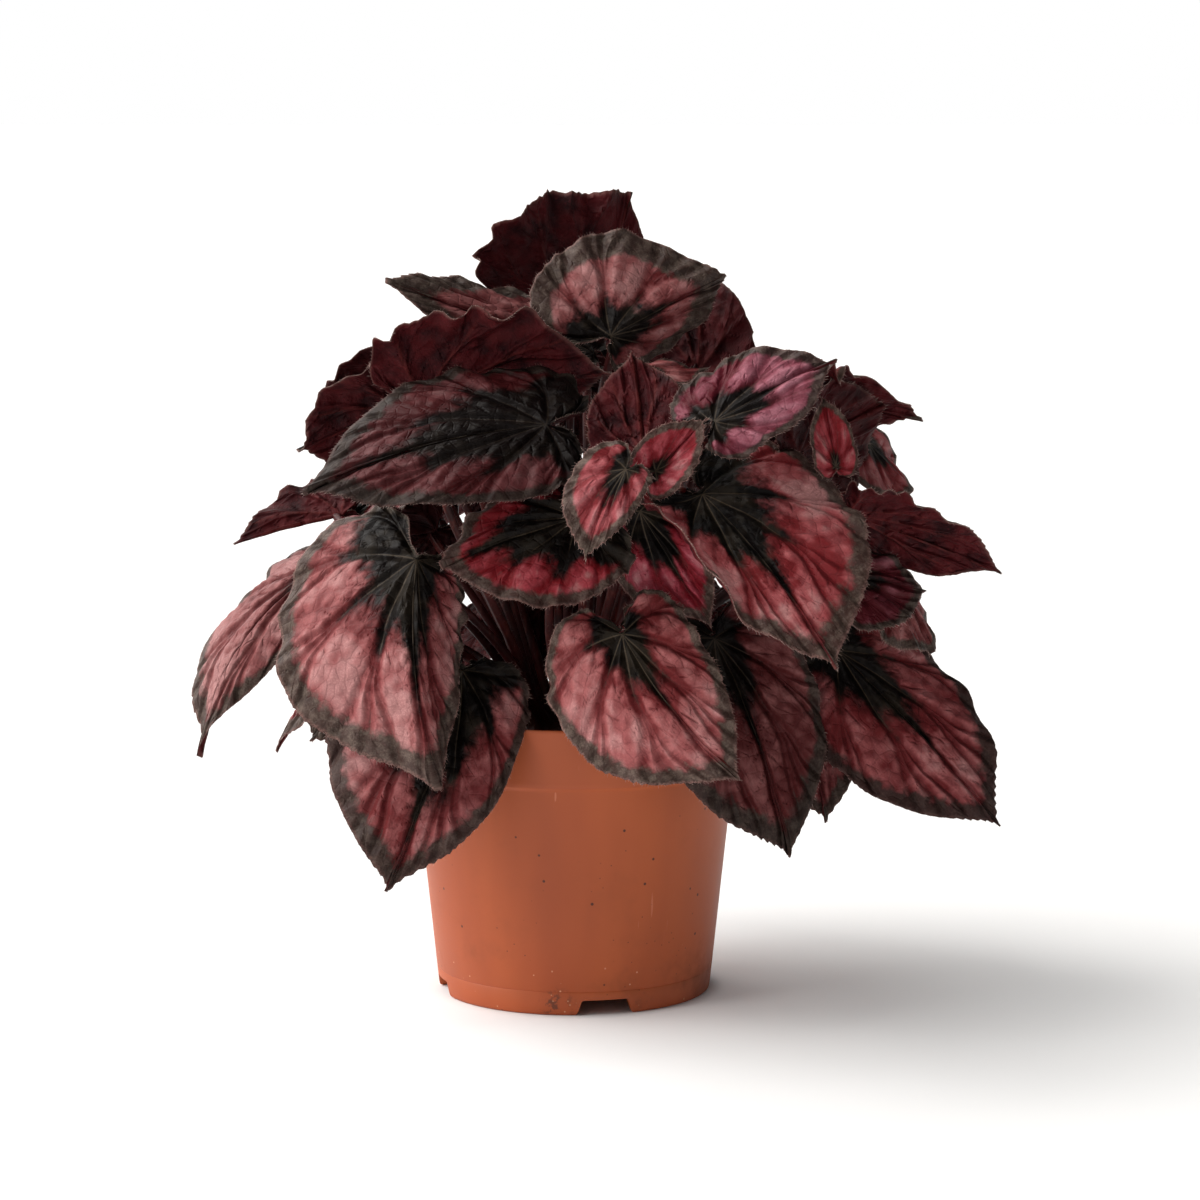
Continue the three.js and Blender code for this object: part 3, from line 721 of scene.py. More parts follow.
# %% Noise in several sizes, from a whole region of the leaf down to its grain
region = net.noise(plan, 2.4, 1.0)
cloud = net.noise(plan, 7.0, 2.0)
patches = net.noise(plan, 15.0, 1.5, 0.5)
blotch = net.noise(plan, 26.0, 4.0, 0.6)
grain = net.noise(plan, 150.0, 3.0, 0.65)
streak = net.noise(fan_plan, 2.6, 4.0, 0.6)
fine_streak = net.noise(fan_plan, 9.0, 3.0, 0.6)
blister = net.cells(plan, QUILT_CELLS, "SMOOTH_F1")
mesh_lines = net.cells(plan, QUILT_CELLS, "DISTANCE_TO_EDGE")
any_vein = net.least(vein, fork + 0.3)
every_vein = net.least(any_vein, slant + 0.6)
swell = net.step(net.least(any_vein, slant * 1.4 + 1.2), 0.2, 3.4)
print("patterns ready,", len(upper_face.node_tree.nodes), "nodes so far")

# %% The star and the margin
STAR_BORDER = (-0.13, 0.09)
HALO_BORDER = (-0.02, 0.22)
MARGIN_BORDER = (0.845, 0.915)

wander = (cloud - 0.5) * 0.26 + (blotch - 0.5) * 0.26 + (fine_streak - 0.5) * 0.2
reach = (star_size + net.fade(vein, 0.0, 4.5) * 0.1 + net.fade(fork, 0.0, 3.0) * 0.07
         + net.fade(axis_gap, 0.5, 10.0) * 0.15 + net.fade(fan, 0.1, 0.42) * lobe)
star_zone = share + wander - reach
star = net.fade(star_zone, *STAR_BORDER)
halo = net.fade(star_zone, *HALO_BORDER)
edge_band = net.step(share + (cloud - 0.5) * 0.12 + (blotch - 0.5) * 0.14 + (fine_streak - 0.5) * 0.06
                     + net.fade(every_vein, 0.1, 1.2) * 0.03 + edge_width, *MARGIN_BORDER)
print("zones ready,", len(upper_face.node_tree.nodes), "nodes so far")

# %% The rose band, from crimson to silvery pink
CRIMSON, YOUNG_CRIMSON = rgb(116, 46, 47), rgb(146, 28, 38)
ROSE, YOUNG_ROSE = rgb(170, 99, 98), rgb(186, 72, 82)
# The second colour on the next line is a painted glint, put on a few grains of the palest skin.
PALE_ROSE, GLINT_PINK = rgb(202, 140, 138), rgb(218, 170, 165)
PLUM, ORCHID = rgb(88, 16, 44), rgb(196, 112, 146)
# Red of the veins, also used as painted shade in the grooves between the quilt cells.
VEIN_AND_GROOVE_RED = rgb(82, 29, 30)

# The silvering is partly the leaf's own pattern of streaks and patches, and partly painted light: paler where
# the skin swells up between the veins and in the middles of the quilt cells, which is a painted highlight,
# and more crimson towards the veins and the cell edges, which is painted shade.
silver_and_sheen = 0.42 + swell * 0.45
for pattern, weight in ((streak, 1.5), (cloud, 1.0), (patches, 1.1), (region, 2.0), (blotch, 0.35)):
    silver_and_sheen = silver_and_sheen + (pattern - 0.5) * weight
silver_and_sheen = silver_and_sheen - blister * 0.35 + 0.14 - blush * 0.8 - halo * 0.3
silver_and_sheen = net.least(net.math("MAXIMUM", silver_and_sheen, 0.0), 1.0)
rose = net.mix(net.step(silver_and_sheen, 0.0, 0.55), net.mix(vivid, CRIMSON, YOUNG_CRIMSON),
               net.mix(vivid, ROSE, YOUNG_ROSE))
rose = net.mix(net.step(silver_and_sheen, 0.45, 1.0), rose, PALE_ROSE)
# Painted glints: a few grains on the palest skin are lifted to a near white pink.
rose = net.mix(net.step(silver_and_sheen, 0.9, 1.0) * net.step(grain, 0.45, 0.6) * 0.2, rose, GLINT_PINK)
rose = net.mix(violet * 0.65, rose, net.mix(silver_and_sheen, PLUM, ORCHID))
vein_and_groove_shade = net.fade(any_vein, 0.1, 0.7) * 0.55 + net.fade(slant, 0.05, 0.6) * 0.3
# The line above is the veins' own red. This one adds painted shade in the grooves along the edges of the
# quilt cells.
vein_and_groove_shade = net.math("MAXIMUM", vein_and_groove_shade, net.fade(mesh_lines, 0.0, 0.12) * 0.13)
rose = net.mix(vein_and_groove_shade, rose, VEIN_AND_GROOVE_RED)
print("rose band ready,", len(upper_face.node_tree.nodes), "nodes so far")

# %% All zones together
STAR_BLACK, STAR_OLIVE, STAR_VEIN = rgb(11, 6, 5), rgb(42, 35, 27), rgb(120, 104, 86)
# The last colour on the next line is painted shade: the near black that the margins of leaves facing away
# from the light are darkened to.
EDGE_OLIVE, EDGE_GREY, PAINTED_EDGE_SHADE = rgb(60, 52, 45), rgb(104, 94, 84), rgb(26, 17, 15)
RIM_PINK, PORE_BROWN, DEEP_SHADE = rgb(158, 120, 112), rgb(60, 34, 32), rgb(13, 4, 3)

dark_star = net.mix(net.step(cloud + (blotch - 0.5) * 0.5, 0.42, 0.66), STAR_BLACK, STAR_OLIVE)
pale_thread = net.fade(vein, 0.1, 0.42) * net.fade(share, 0.35, 0.8)
dark_star = net.mix(pale_thread * 0.42, dark_star, STAR_VEIN)
green_edge = net.mix(net.step(blotch + (grain - 0.5) * 0.3, 0.4, 0.68), EDGE_OLIVE, EDGE_GREY)
green_edge = net.mix(net.step(share, 0.972, 1.0) * net.step(grain, 0.3, 0.6) * 0.75, green_edge, RIM_PINK)
# Painted shade on the margin: it darkens as far as the leaf's trait for it says, mostly on leaves that face
# away from the light.
green_edge = net.mix(edge_painted_shade, green_edge, PAINTED_EDGE_SHADE)
skin = net.mix(star, rose, dark_star)
skin = net.mix(edge_band * 0.92, skin, green_edge)
skin = net.mix(net.step(grain, 0.7, 0.42) * 0.2, skin, PORE_BROWN, "MULTIPLY")
# Painted shade: the whole leaf sinks towards near black as far as its trait for painted shade says, for
# leaves that lie in the plant's shade.
skin = net.mix(painted_shade, skin, net.mix(0.85, skin, DEEP_SHADE))

relief = (swell * 0.8 + (1 - blister) * 0.9 + grain * 0.05 + fine_streak * 0.25
          + net.step(mesh_lines, 0.0, 0.1) * 0.08)
net.dress(Base_Color=skin, Roughness=net.between(blotch, 0.42, 0.62), Specular_IOR_Level=0.12,
          Normal=net.bump(relief, 0.95, 0.0016))
print("leaf upper face:", len(upper_face.node_tree.nodes), "nodes")

# %% Under face of the leaf
MAROON_DARK, MAROON = rgb(40, 6, 11), rgb(86, 22, 26)
MAROON_PORE, MAROON_RIM, MAROON_SHADE = rgb(116, 46, 51), rgb(128, 88, 82), rgb(10, 3, 3)
RIB_RED, SMALL_RIB_RED = rgb(112, 42, 38), rgb(98, 34, 32)

under_face, net = new_finish("leaf under face")
plan = net.node("ShaderNodeUVMap", {"uv_map": LEAF_PLAN})
share, vein, fork, slant = net.measures(MEASURES[:4])
painted_shade = net.measure("painted_shade")
cloud = net.noise(plan, 9.0, 3.0)
cushion = net.cells(plan, QUILT_CELLS, "SMOOTH_F1")
pores = net.noise(plan, 90.0, 4.0, 0.65)
# Lighter in the middles of the quilt cells and darker at their edges: painted light on the cushions and
# painted shade in the hollows, over the maroon's own cloudy mottling.
maroon = net.mix(net.step(cloud - cushion * 0.35, 0.1, 0.5), MAROON_DARK, MAROON)
maroon = net.mix(net.step(pores, 0.5, 0.75) * 0.4, maroon, MAROON_PORE)
maroon = net.mix(net.fade(vein, 0.2, 1.1) * 0.35, maroon, RIB_RED)
maroon = net.mix(net.fade(net.least(fork, slant + 0.3), 0.1, 0.7) * 0.2, maroon, SMALL_RIB_RED)
maroon = net.mix(net.step(share, 0.96, 1.0) * 0.5, maroon, MAROON_RIM)
# Painted shade: the under face sinks towards near black as far as the leaf's trait for painted shade says.
maroon = net.mix(painted_shade, maroon, net.mix(0.8, maroon, MAROON_SHADE))
relief = pores * 0.3 - net.step(net.least(fork + 0.3, slant + 0.5), 0.0, 2.0) * 0.7 - cushion * 1.5
net.dress(Base_Color=maroon, Roughness=net.between(pores, 0.45, 0.7), Specular_IOR_Level=0.11,
          Normal=net.bump(relief, 1.0, 0.0021))
print("leaf under face:", len(under_face.node_tree.nodes), "nodes")

# %% [markdown]
# ## Making all the leaves
#
# Each leaf is its own object, because each one replaces its own CAD node. What differs from leaf to
# leaf in colour rides along as a number on the mesh, so two materials are enough for the whole plant.

# %% Leaves
# One number for each of the TRAITS, in their order. What a look leaves out is 0.
LOOKS = {
    "front_center": (0.36, 0.03, 0.22, 0.4, 0, 0.1), "left_drape": (0.2, 0.28, 0.34, 0.7, 0, 0.1, 0.02),
    "far_left": (0.1, 0.42, 0, 0.1), "low_left": (0.38, 0.25, 0.55, 0.9, 0, 0.1, 0, 0.5),
    "right_low": (0.5, 0.22, 0.36, 0.4, 0, 0.2, 0, 0.75),
    "low_mid": (0.7, 0.6, 0.25, 0.4, 0, 0, 0, 0.35),
    "right_center": (0.42, 0, 0.42, 0.6, 0, 0.4, 0, 0.15),
    "small_center": (0.42, 0.1, 0.15, 0.5, 0.12, 0.4, 0.06),
    "young_center": (0.55, 0.1, 0.1, 0.3, 0.1, 0.8, 0.04),
    "left_big": (0.55, 0.86, 0.55, 0.9, 0.1, 0.3), "upper_left": (0.4, 0.5, 0.2, 0.4, 0, 0, 0.08),
    "upper_center": (0.2, 0.4, 0.25, 0.5, 0, 0.1, 0.13),
    "pink_right": (0.45, 0.34, 0.3, 0.5, 0.8, 0.3, 0, 0.2),
    "center_red": (0.75, 0.35, 0.55, 0.8, 0, 1, 0, 0.2),
    "center_upright": (0.5, 0.1, 0.35, 0.5, 0.3, 1), "right_purple": (0.6, 0.5, 0.25, 0.3, 0.6, 0.3),
    "right_pale": (0.4, 0.3, 0.2, 0.3), "red_young": (0.5, 0.1, 0, 0.1, 0, 0.8),
}
# Leaves inside the plant get heavy painted shade (the second number), because they lie in the plant's shade.
INSIDE_SHADED_LOOK = (0.6, 0.8, 0.35, 0.5)
PLAN_SCALE = 100   # millimetres to one unit of the leaf_plan map


def look_of(blade):
    """The listed look, or a plain one for the far side, or one for leaves inside the plant. The plain
    look puts some painted shade on the whole leaf, and the inside one puts on much more.
    """
    if blade.name.startswith("inner"):
        return INSIDE_SHADED_LOOK
    k = blade.index
    plain = (0.25 + 0.5 * draw(k + 0.1), 0.2 + 0.4 * draw(k + 0.2), 0.15 + 0.25 * draw(k + 0.4),
             0.3 + 0.4 * draw(k + 0.5), 0, 0.4 * draw(k + 0.7))
    return LOOKS.get(blade.name, plain)


def add_measure(mesh, name, values):
    mesh.attributes.new(name, "FLOAT", "POINT").data.foreach_set("value", np.asarray(values, np.float32))


def make_leaf(blade):
    """One leaf with its two finishes, its measures and traits, and its two flat maps."""
    points, faces, upper_count, plan, measures, edge, outward = leaf_mesh(blade)
    made = make_object(f"leaf_{blade.name}_blade", points, faces, [upper_face, under_face])
    mesh = made.data
    slots = np.zeros(len(faces), np.int32)
    slots[upper_count:] = 1
    mesh.polygons.foreach_set("material_index", slots)
    for name, values in measures.items():
        add_measure(mesh, name, np.tile(values, 2))
    k = blade.index
    for name, value in zip_longest(TRAITS, look_of(blade), fillvalue=0):
        add_measure(mesh, name, np.full(len(points), value))
    corners = np.zeros(len(mesh.loops), np.int32)
    mesh.loops.foreach_get("vertex_index", corners)
    spread = np.tile(plan, (2, 1))[corners] / PLAN_SCALE + [0.5 + 1.7 * k, 0.5 + 0.9 * k]
    mesh.uv_layers.new(name=LEAF_PLAN).data.foreach_set("uv", spread.ravel())
    side_sign = np.sign(plan[:, 0] + 1e-9)
    fan_plan = np.stack([side_sign * (1 - measures["fan"]) * 3.2 + 9.1 * k,
                         measures["margin_share"] * 0.9], 1)
    mesh.uv_layers.new(name=LEAF_FAN).data.foreach_set("uv", np.tile(fan_plan, (2, 1))[corners].ravel())
    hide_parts(f"leaf_{blade.name}")
    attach(made, "root")
    return made, edge, outward


leaf_objects, margin_points, margin_ways = [], [], []
for blade in BLADES:
    made, edge, outward = make_leaf(blade)
    leaf_objects.append(made)
    margin_points.append(edge)
    margin_ways.append(outward)
print(len(leaf_objects), "leaves,", sum(len(o.data.polygons) for o in leaf_objects), "faces")

# %% [markdown]
# ## Geometry Nodes for what repeats
#
# Hairs and soil crumbs are too many to place by hand. A node tree scatters them: it takes a surface or
# some points, puts a small shape on each, turns it and sizes it at random from a fixed seed, makes the
# copies real and gives them their material. The result is then kept as a plain mesh.

# %% A helper that grows a scatter into a mesh
def new_tree(name, inputs):
    """A Geometry Nodes tree with named inputs, and wires from each of them."""
    tree = bpy.data.node_groups.new(name, "GeometryNodeTree")
    tree.interface.new_socket("Geometry", in_out="INPUT", socket_type="NodeSocketGeometry")
    tree.interface.new_socket("Geometry", in_out="OUTPUT", socket_type="NodeSocketGeometry")
    for label, (kind, value) in inputs.items():
        tree.interface.new_socket(label, in_out="INPUT", socket_type=kind).default_value = value
    net = Net(tree)
    start = tree.nodes.new("NodeGroupInput")
    wires = {socket.name: Wire(net, socket) for socket in start.outputs if socket.name}
    return net, wires


def end_tree(net, copies, finish):
    """Makes the copies real, gives them their material and ends the tree."""
    real = net.node("GeometryNodeRealizeInstances", {}, {"Geometry": copies})
    coated = net.node("GeometryNodeSetMaterial", {}, {"Geometry": real, "Material": finish})
    net.node("NodeGroupOutput", {}, {"Geometry": coated})
    return net.tree


def grow(name, source, tree, values=None):
    """Runs the tree on a copy of source and keeps the result as a plain mesh object."""
    base = put("seed_bed", source.copy())
    modifier = base.modifiers.new("grow", "NODES")
    modifier.node_group = tree
    keys = {item.name: item.identifier for item in tree.interface.items_tree if item.in_out == "INPUT"}
    for label, value in (values or {}).items():
        modifier[keys[label]] = value
    mesh = settle(base)
    bpy.data.objects.remove(base)
    mesh.name = name
    print(name, len(mesh.polygons), "faces")
    return put(name, mesh)


def spots_on(net, wires, chosen=None):
    """Points strewn over the surface, and the way that the surface faces at each."""
    sockets = {"Mesh": wires["Geometry"], "Density": wires["Density"], "Seed": wires["Seed"]}
    if chosen is not None:
        sockets["Selection"] = chosen
    spots = net.node("GeometryNodeDistributePointsOnFaces", {}, sockets, out="Points")
    return spots, Wire(net, spots.socket.node.outputs["Normal"])


def random_vector(net, low, high, seed):
    return net.node("FunctionNodeRandomValue", {"data_type": "FLOAT_VECTOR"},
                    {"Min": low, "Max": high, "Seed": seed}, out="Value")


def copy_on(net, points, shape, rotation, scale):
    return net.node("GeometryNodeInstanceOnPoints", {}, {
        "Points": points, "Instance": shape, "Rotation": rotation, "Scale": scale}, out="Instances")


def hair_on(net, points, way, wires, radius, lean, seed):
    """One thin three-sided cone on each point, leaning a little off the way that it should grow."""
    thorn = net.node("GeometryNodeMeshCone", {}, {
        "Vertices": 3, "Side Segments": 1, "Radius Top": 0.0,
        "Radius Bottom": radius, "Depth": wires["Length"]}, out="Mesh")
    leaning = net.vectors("ADD", way, random_vector(net, (-lean,) * 3, (lean,) * 3, seed + 1))
    turned = net.node("FunctionNodeAlignRotationToVector", {"axis": "Z"}, {"Vector": leaning}, out="Rotation")
    size = net.node("FunctionNodeRandomValue", {"data_type": "FLOAT"},
                    {"Min_001": 0.45, "Max_001": 1.15, "Seed": seed + 2}, out="Value_001")
    return copy_on(net, points, thorn, turned, size)


print("scatter kit ready")

# %% [markdown]
# ## Leaf stalks and rootstock
#
# The stalks are juicy red stems that rise from a short rootstock lying at the surface of the soil. The
# CAD node already holds their routes between the leaves, as five-sided tubes. A Subdivision Surface on
# a welded copy rounds those tubes and blends them into the rootstock, so no route is drawn twice.

# %% Finish of the stalks and their hairs
STALK_DARK, STALK_RED, STALK_STREAK = rgb(40, 7, 8), rgb(74, 17, 16), rgb(112, 48, 38)
ROOT_BROWN, HAIR_RED, HAIR_PALE = rgb(46, 26, 16), rgb(70, 24, 20), rgb(140, 96, 84)

stalk_finish, net = new_finish("stalk skin")
here = net.here()
long_streak = net.noise(net.stretched(here, (1.0, 1.0, 0.18)), 420.0, 3.0)
patch = net.noise(here, 60.0, 2.0)
red = net.mix(net.step(patch, 0.35, 0.65), STALK_DARK, STALK_RED)
red = net.mix(net.step(long_streak, 0.5, 0.75) * 0.5, red, STALK_STREAK)
red = net.mix(net.step(net.height(here), 0.125, 0.096) * 0.6, red, ROOT_BROWN)
net.dress(Base_Color=red, Normal=net.bump(long_streak, 0.4, 0.0006), Specular_IOR_Level=0.25,
          Roughness=net.between(patch, 0.35, 0.55), Subsurface_Weight=0.15, Subsurface_Scale=0.002,
          Subsurface_Radius=(1.0, 0.25, 0.2))


def grainy_finish(name, scale, detail, first, second, roughness):
    """A finish for small grains and hairs: two tones, mixed by fine noise."""
    finish, net = new_finish(name)
    net.dress(Base_Color=net.mix(net.noise(net.here(), scale, detail), first, second), Roughness=roughness)
    return finish


hair_finish = grainy_finish("plant hair", 300.0, 1.0, HAIR_RED, HAIR_PALE, 0.4)
print("stalk and hair finishes ready")

# %% Rounded stalks
STALK_SWELL = 0.25
WELD = 1e-5


def rounded_stalks():
    """A welded copy of the CAD tubes, smoothed, and swollen by what the smoothing took off."""
    welded = frame["nodes"]["stalks"].data.copy()
    welded.materials.clear()
    work = bmesh.new()
    work.from_mesh(welded)
    bmesh.ops.remove_doubles(work, verts=work.verts, dist=WELD)
    bmesh.ops.join_triangles(work, faces=work.faces, angle_face_threshold=math.radians(25),
                             angle_shape_threshold=math.radians(60))
    work.to_mesh(welded)
    work.free()
    made = put("stalks_and_rootstock", welded)
    smooth = made.modifiers.new("round", "SUBSURF")
    smooth.levels = smooth.render_levels = 2
    fine = made.data = settle(made)
    place, normal = np.zeros((2, len(fine.vertices) * 3), np.float32)
    fine.vertices.foreach_get("co", place)
    fine.vertices.foreach_get("normal", normal)
    fine.vertices.foreach_set("co", place + normal * STALK_SWELL * MM)
    fine.shade_smooth()
    fine.materials.append(stalk_finish)
    fine.update()
    return made


stalks = rounded_stalks()
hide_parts("stalks")
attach(stalks, "root")
print("stalks", len(stalks.data.polygons), "faces")

# %% Hairs on the stalks
HAIR_DENSITY = 90000.0   # hairs to a square metre
net, wires = new_tree("stalk hairs", {
    "Density": ("NodeSocketFloat", HAIR_DENSITY), "Length": ("NodeSocketFloat", 1.6 * MM),
    "Seed": ("NodeSocketInt", 5)})
spots, way = spots_on(net, wires)
copies = hair_on(net, spots, way, wires, radius=0.06 * MM, lean=0.45, seed=11)
stalk_hairs = grow("stalk_hairs", stalks.data, end_tree(net, copies, hair_finish), {"Density": HAIR_DENSITY})
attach(stalk_hairs, "root")

# %% [markdown]
# ## Hairs along the margins
#
# Every tooth of a leaf ends in short pale hairs, and against the dark plant they draw a fine light
# line round each leaf. The margin points of all leaves go into one cloud of points, each with the way
# that it faces, and a second tree plants a hair on each.

# %% Margin hairs
HAIR_SPACING = 1.1
margin_hair_finish = grainy_finish("margin hair", 300.0, 1.0, rgb(132, 96, 88), rgb(214, 186, 176), 0.4)
net, wires = new_tree("margin hairs", {
    "Length": ("NodeSocketFloat", 1.5 * MM), "Seed": ("NodeSocketInt", 3)})
cloud_points = net.node("GeometryNodeMeshToPoints", {}, {"Mesh": wires["Geometry"]}, out="Points")
way = net.node("GeometryNodeInputNamedAttribute", {"data_type": "FLOAT_VECTOR"},
               {"Name": "way"}, out="Attribute")
copies = hair_on(net, cloud_points, way, wires, radius=0.065 * MM, lean=0.5, seed=21)
margin_tree = end_tree(net, copies, margin_hair_finish)


def margin_cloud():
    """Points spread evenly along all the margins, with the way that each faces."""
    places, ways = [], []
    for edge, outward in zip(margin_points, margin_ways):
        step = np.linalg.norm(np.diff(edge, axis=0, append=edge[:1]), axis=1)
        along = np.concatenate([[0], np.cumsum(step)])
        both = np.concatenate([edge, outward], 1)
        closed = np.concatenate([both, both[:1]])
        stops = np.arange(0, along[-1], HAIR_SPACING)
        both = np.stack([np.interp(stops, along, column) for column in closed.T], 1)
        places.append(both[:, :3])
        ways.append(both[:, 3:] / np.linalg.norm(both[:, 3:], axis=1)[:, None])
    mesh = bpy.data.meshes.new("margin_cloud")
    mesh.from_pydata(world(np.concatenate(places)).tolist(), [], [])
    mesh.attributes.new("way", "FLOAT_VECTOR", "POINT").data.foreach_set(
        "vector", np.concatenate(ways).astype(np.float32).ravel())
    return mesh


margin_hairs = grow("leaf_margin_hairs", margin_cloud(), margin_tree)
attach(margin_hairs, "root")

# %% [markdown]
# ## The pot
#
# The pot is one thin plastic moulding. Its outline is turned round the axis like clay on a wheel, with
# far more steps than the CAD solid so that the wall looks round. The notches and drain holes are cut
# out of that shape with Boolean modifiers, as a mould's inserts would leave them.

# %% Turn the pot
FOOT_RADIUS = 49.3
TAPER = 0.107
WALL = 1.2
COLLAR_START = 83.0
COLLAR_STEP = 0.8
COLLAR_TOP = 60.3
POT_HEIGHT = 103.8
FLOOR_UNDER = 6.2
FLOOR_TOP = 7.6
SEAM_HEIGHT = 8.6
POT_STEPS = 160


def wall_radius(z):
    return FOOT_RADIUS + TAPER * z


def turned(name, outline, steps, finish):
    """A closed shape turned from an outline that starts and ends on the axis."""
    angles = 2 * np.pi * np.arange(steps) / steps
    ring = outline[1:-1]
    points = [(0, 0, outline[0][1])]
    for r, z in ring:
        points += [(r * math.cos(a), r * math.sin(a), z) for a in angles]
    points.append((0, 0, outline[-1][1]))
    last = len(points) - 1
    faces = []
    for j in range(steps):
        k = (j + 1) % steps
        faces.append([0, 1 + k, 1 + j])
        faces.append([last, last - steps + j, last - steps + k])
        for i in range(len(ring) - 1):
            a, b = 1 + i * steps + j, 1 + i * steps + k
            faces.append([a, b, b + steps, a + steps])
    return make_object(name, points, faces, [finish])


COLLAR_FOOT = wall_radius(COLLAR_START) + COLLAR_STEP
# From the axis under the pot's floor, out to the foot ring, up the wall and collar, over the rim and
# down the inside, back to the axis on top of the floor: radius and height in millimetres.
POT_OUTLINE = [
    (0, FLOOR_UNDER), (46.0, FLOOR_UNDER), (46.9, FLOOR_UNDER - 0.9), (46.9, 0.3), (47.2, 0.0), (47.9, 0.0),
    (48.6, 0.12), (49.1, 0.5), (49.36, 1.2), (wall_radius(3), 3.0),
    (wall_radius(SEAM_HEIGHT) - 0.02, SEAM_HEIGHT - 0.35), (wall_radius(SEAM_HEIGHT) - 0.22, SEAM_HEIGHT),
    (wall_radius(SEAM_HEIGHT) + 0.05, SEAM_HEIGHT + 0.35), (wall_radius(30), 30.0), (wall_radius(56), 56.0),
    (wall_radius(81.4), 81.4), (wall_radius(82.2) + 0.12, 82.2), (COLLAR_FOOT - 0.2, 82.7),
    (COLLAR_FOOT, 83.2), (COLLAR_FOOT + 0.1, 85.0), (59.75, 95.0), (COLLAR_TOP - 0.15, 102.2),
    (COLLAR_TOP, 102.9), (COLLAR_TOP - 0.1, 103.45), (COLLAR_TOP - 0.4, 103.75),
    (COLLAR_TOP - 0.75, POT_HEIGHT), (COLLAR_TOP - 1.05, 103.6), (COLLAR_TOP - WALL, 103.1),
    (COLLAR_FOOT - WALL, 84.4),
    (wall_radius(82) - WALL, 82.0), (wall_radius(40) - WALL, 40.0), (wall_radius(9.5) - WALL, 9.5),
    (wall_radius(8) - WALL - 0.8, FLOOR_TOP), (0, FLOOR_TOP)]

pot_finish, pot_net = new_finish("terracotta coloured plastic")
pot = turned("nursery_pot", POT_OUTLINE, POT_STEPS, pot_finish)
print("pot turned with", len(pot.data.polygons), "faces")

# %% Cut the notches and the drain holes
NOTCH_TURN = 13.0
NOTCHES = 4
NOTCH_HALF = [(12.0, -1.0), (11.3, 0.0), (10.5, 0.3), (9.9, 0.9), (9.5, 1.8), (8.5, 4.9), (8.2, 5.4),
              (7.6, 5.6)]   # half width and height, from the foot up
NOTCH_SHAPE = NOTCH_HALF + [(-x, z) for x, z in reversed(NOTCH_HALF)]
NOTCH_REACH = (-54.3, -40.3)   # from outside the foot ring to inside it, along the notch's own axis
DRAIN_HOLES = 8
DRAIN_RADIUS = 4.0
DRAIN_RING = 34.0
DRAIN_SIDES = 32
DRAIN_REACH = (3.0, 9.0)
SHARP_FROM = math.radians(38)


def prism(outline, low, high, place):
    """A straight prism: outline points a and b, from depth low to high, each carried by place."""
    count = len(outline)
    points = [place(a, b, d) for d in (low, high) for a, b in outline]
    faces = [list(range(count))[::-1], list(range(count, 2 * count))]
    faces += [[i, (i + 1) % count, count + (i + 1) % count, count + i] for i in range(count)]
    return points, faces


def cutters():
    """Every notch and drain hole as one set of prisms."""
    points, faces = [], []

    def add(shape):
        start = len(points)
        points.extend(shape[0])
        faces.extend([[start + i for i in f] for f in shape[1]])

    for n in range(NOTCHES):
        turn = math.radians(NOTCH_TURN + 360 / NOTCHES * n)
        add(prism(NOTCH_SHAPE, *NOTCH_REACH, lambda a, b, d: (
            a * math.cos(turn) - d * math.sin(turn), a * math.sin(turn) + d * math.cos(turn), b)))
    circle = [(DRAIN_RADIUS * math.cos(a), DRAIN_RADIUS * math.sin(a))
              for a in np.linspace(0, 2 * np.pi, DRAIN_SIDES + 1)[:-1]]
    for n in range(DRAIN_HOLES):
        turn = 2 * math.pi * n / DRAIN_HOLES
        x, y = DRAIN_RING * math.cos(turn), DRAIN_RING * math.sin(turn)
        add(prism(circle, *DRAIN_REACH, lambda a, b, d: (x + a, y + b, d)))
    return points, faces


def cut_pot():
    """Takes the prisms away from the pot and keeps its corners crisp."""
    tool = make_object("pot_cutter", *cutters(), [])
    work = bmesh.new()
    work.from_mesh(tool.data)
    bmesh.ops.recalc_face_normals(work, faces=work.faces)
    work.to_mesh(tool.data)
    work.free()
    cut = pot.modifiers.new("cut", "BOOLEAN")
    cut.operation = "DIFFERENCE"
    cut.solver = "EXACT"
    cut.object = tool
    pot.data = settle(pot)
    bpy.data.objects.remove(tool)
    pot.data.shade_smooth()
    pot.data.set_sharp_from_angle(angle=SHARP_FROM)


cut_pot()
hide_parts("pot")
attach(pot, "root")
print("pot with notches and holes:", len(pot.data.polygons), "faces")

# %% [markdown]
# ## Moulded plastic
#
# New nursery pots are satin, slightly waxy plastic in a clay colour. What makes one look real is small:
# faint flow marks from the mould, a few dark specks of soil, smudges near the foot, hairline scratches
# and a roughness that is not the same everywhere.

# %% Pot finish
CLAY_DARK, CLAY, CLAY_COLLAR = rgb(160, 73, 34), rgb(180, 87, 43), rgb(168, 84, 52)
MUD, GRIT, SMUDGE_BROWN = rgb(74, 40, 26), rgb(206, 168, 128), rgb(92, 58, 42)
SCRATCH_PALE, FLECK_PALE = rgb(222, 150, 118), rgb(224, 176, 138)
SPECK_DARK, SMALL_SPECK_DARK = rgb(54, 24, 16), rgb(64, 34, 24)
DIRT_PLACES = (-6.0, 27.0)   # aside from the pot's axis, beside the front notch, in millimetres
DIRT_DEPTH = 0.0485          # from the axis towards the camera, in metres
DIRT_HEIGHT = 0.004

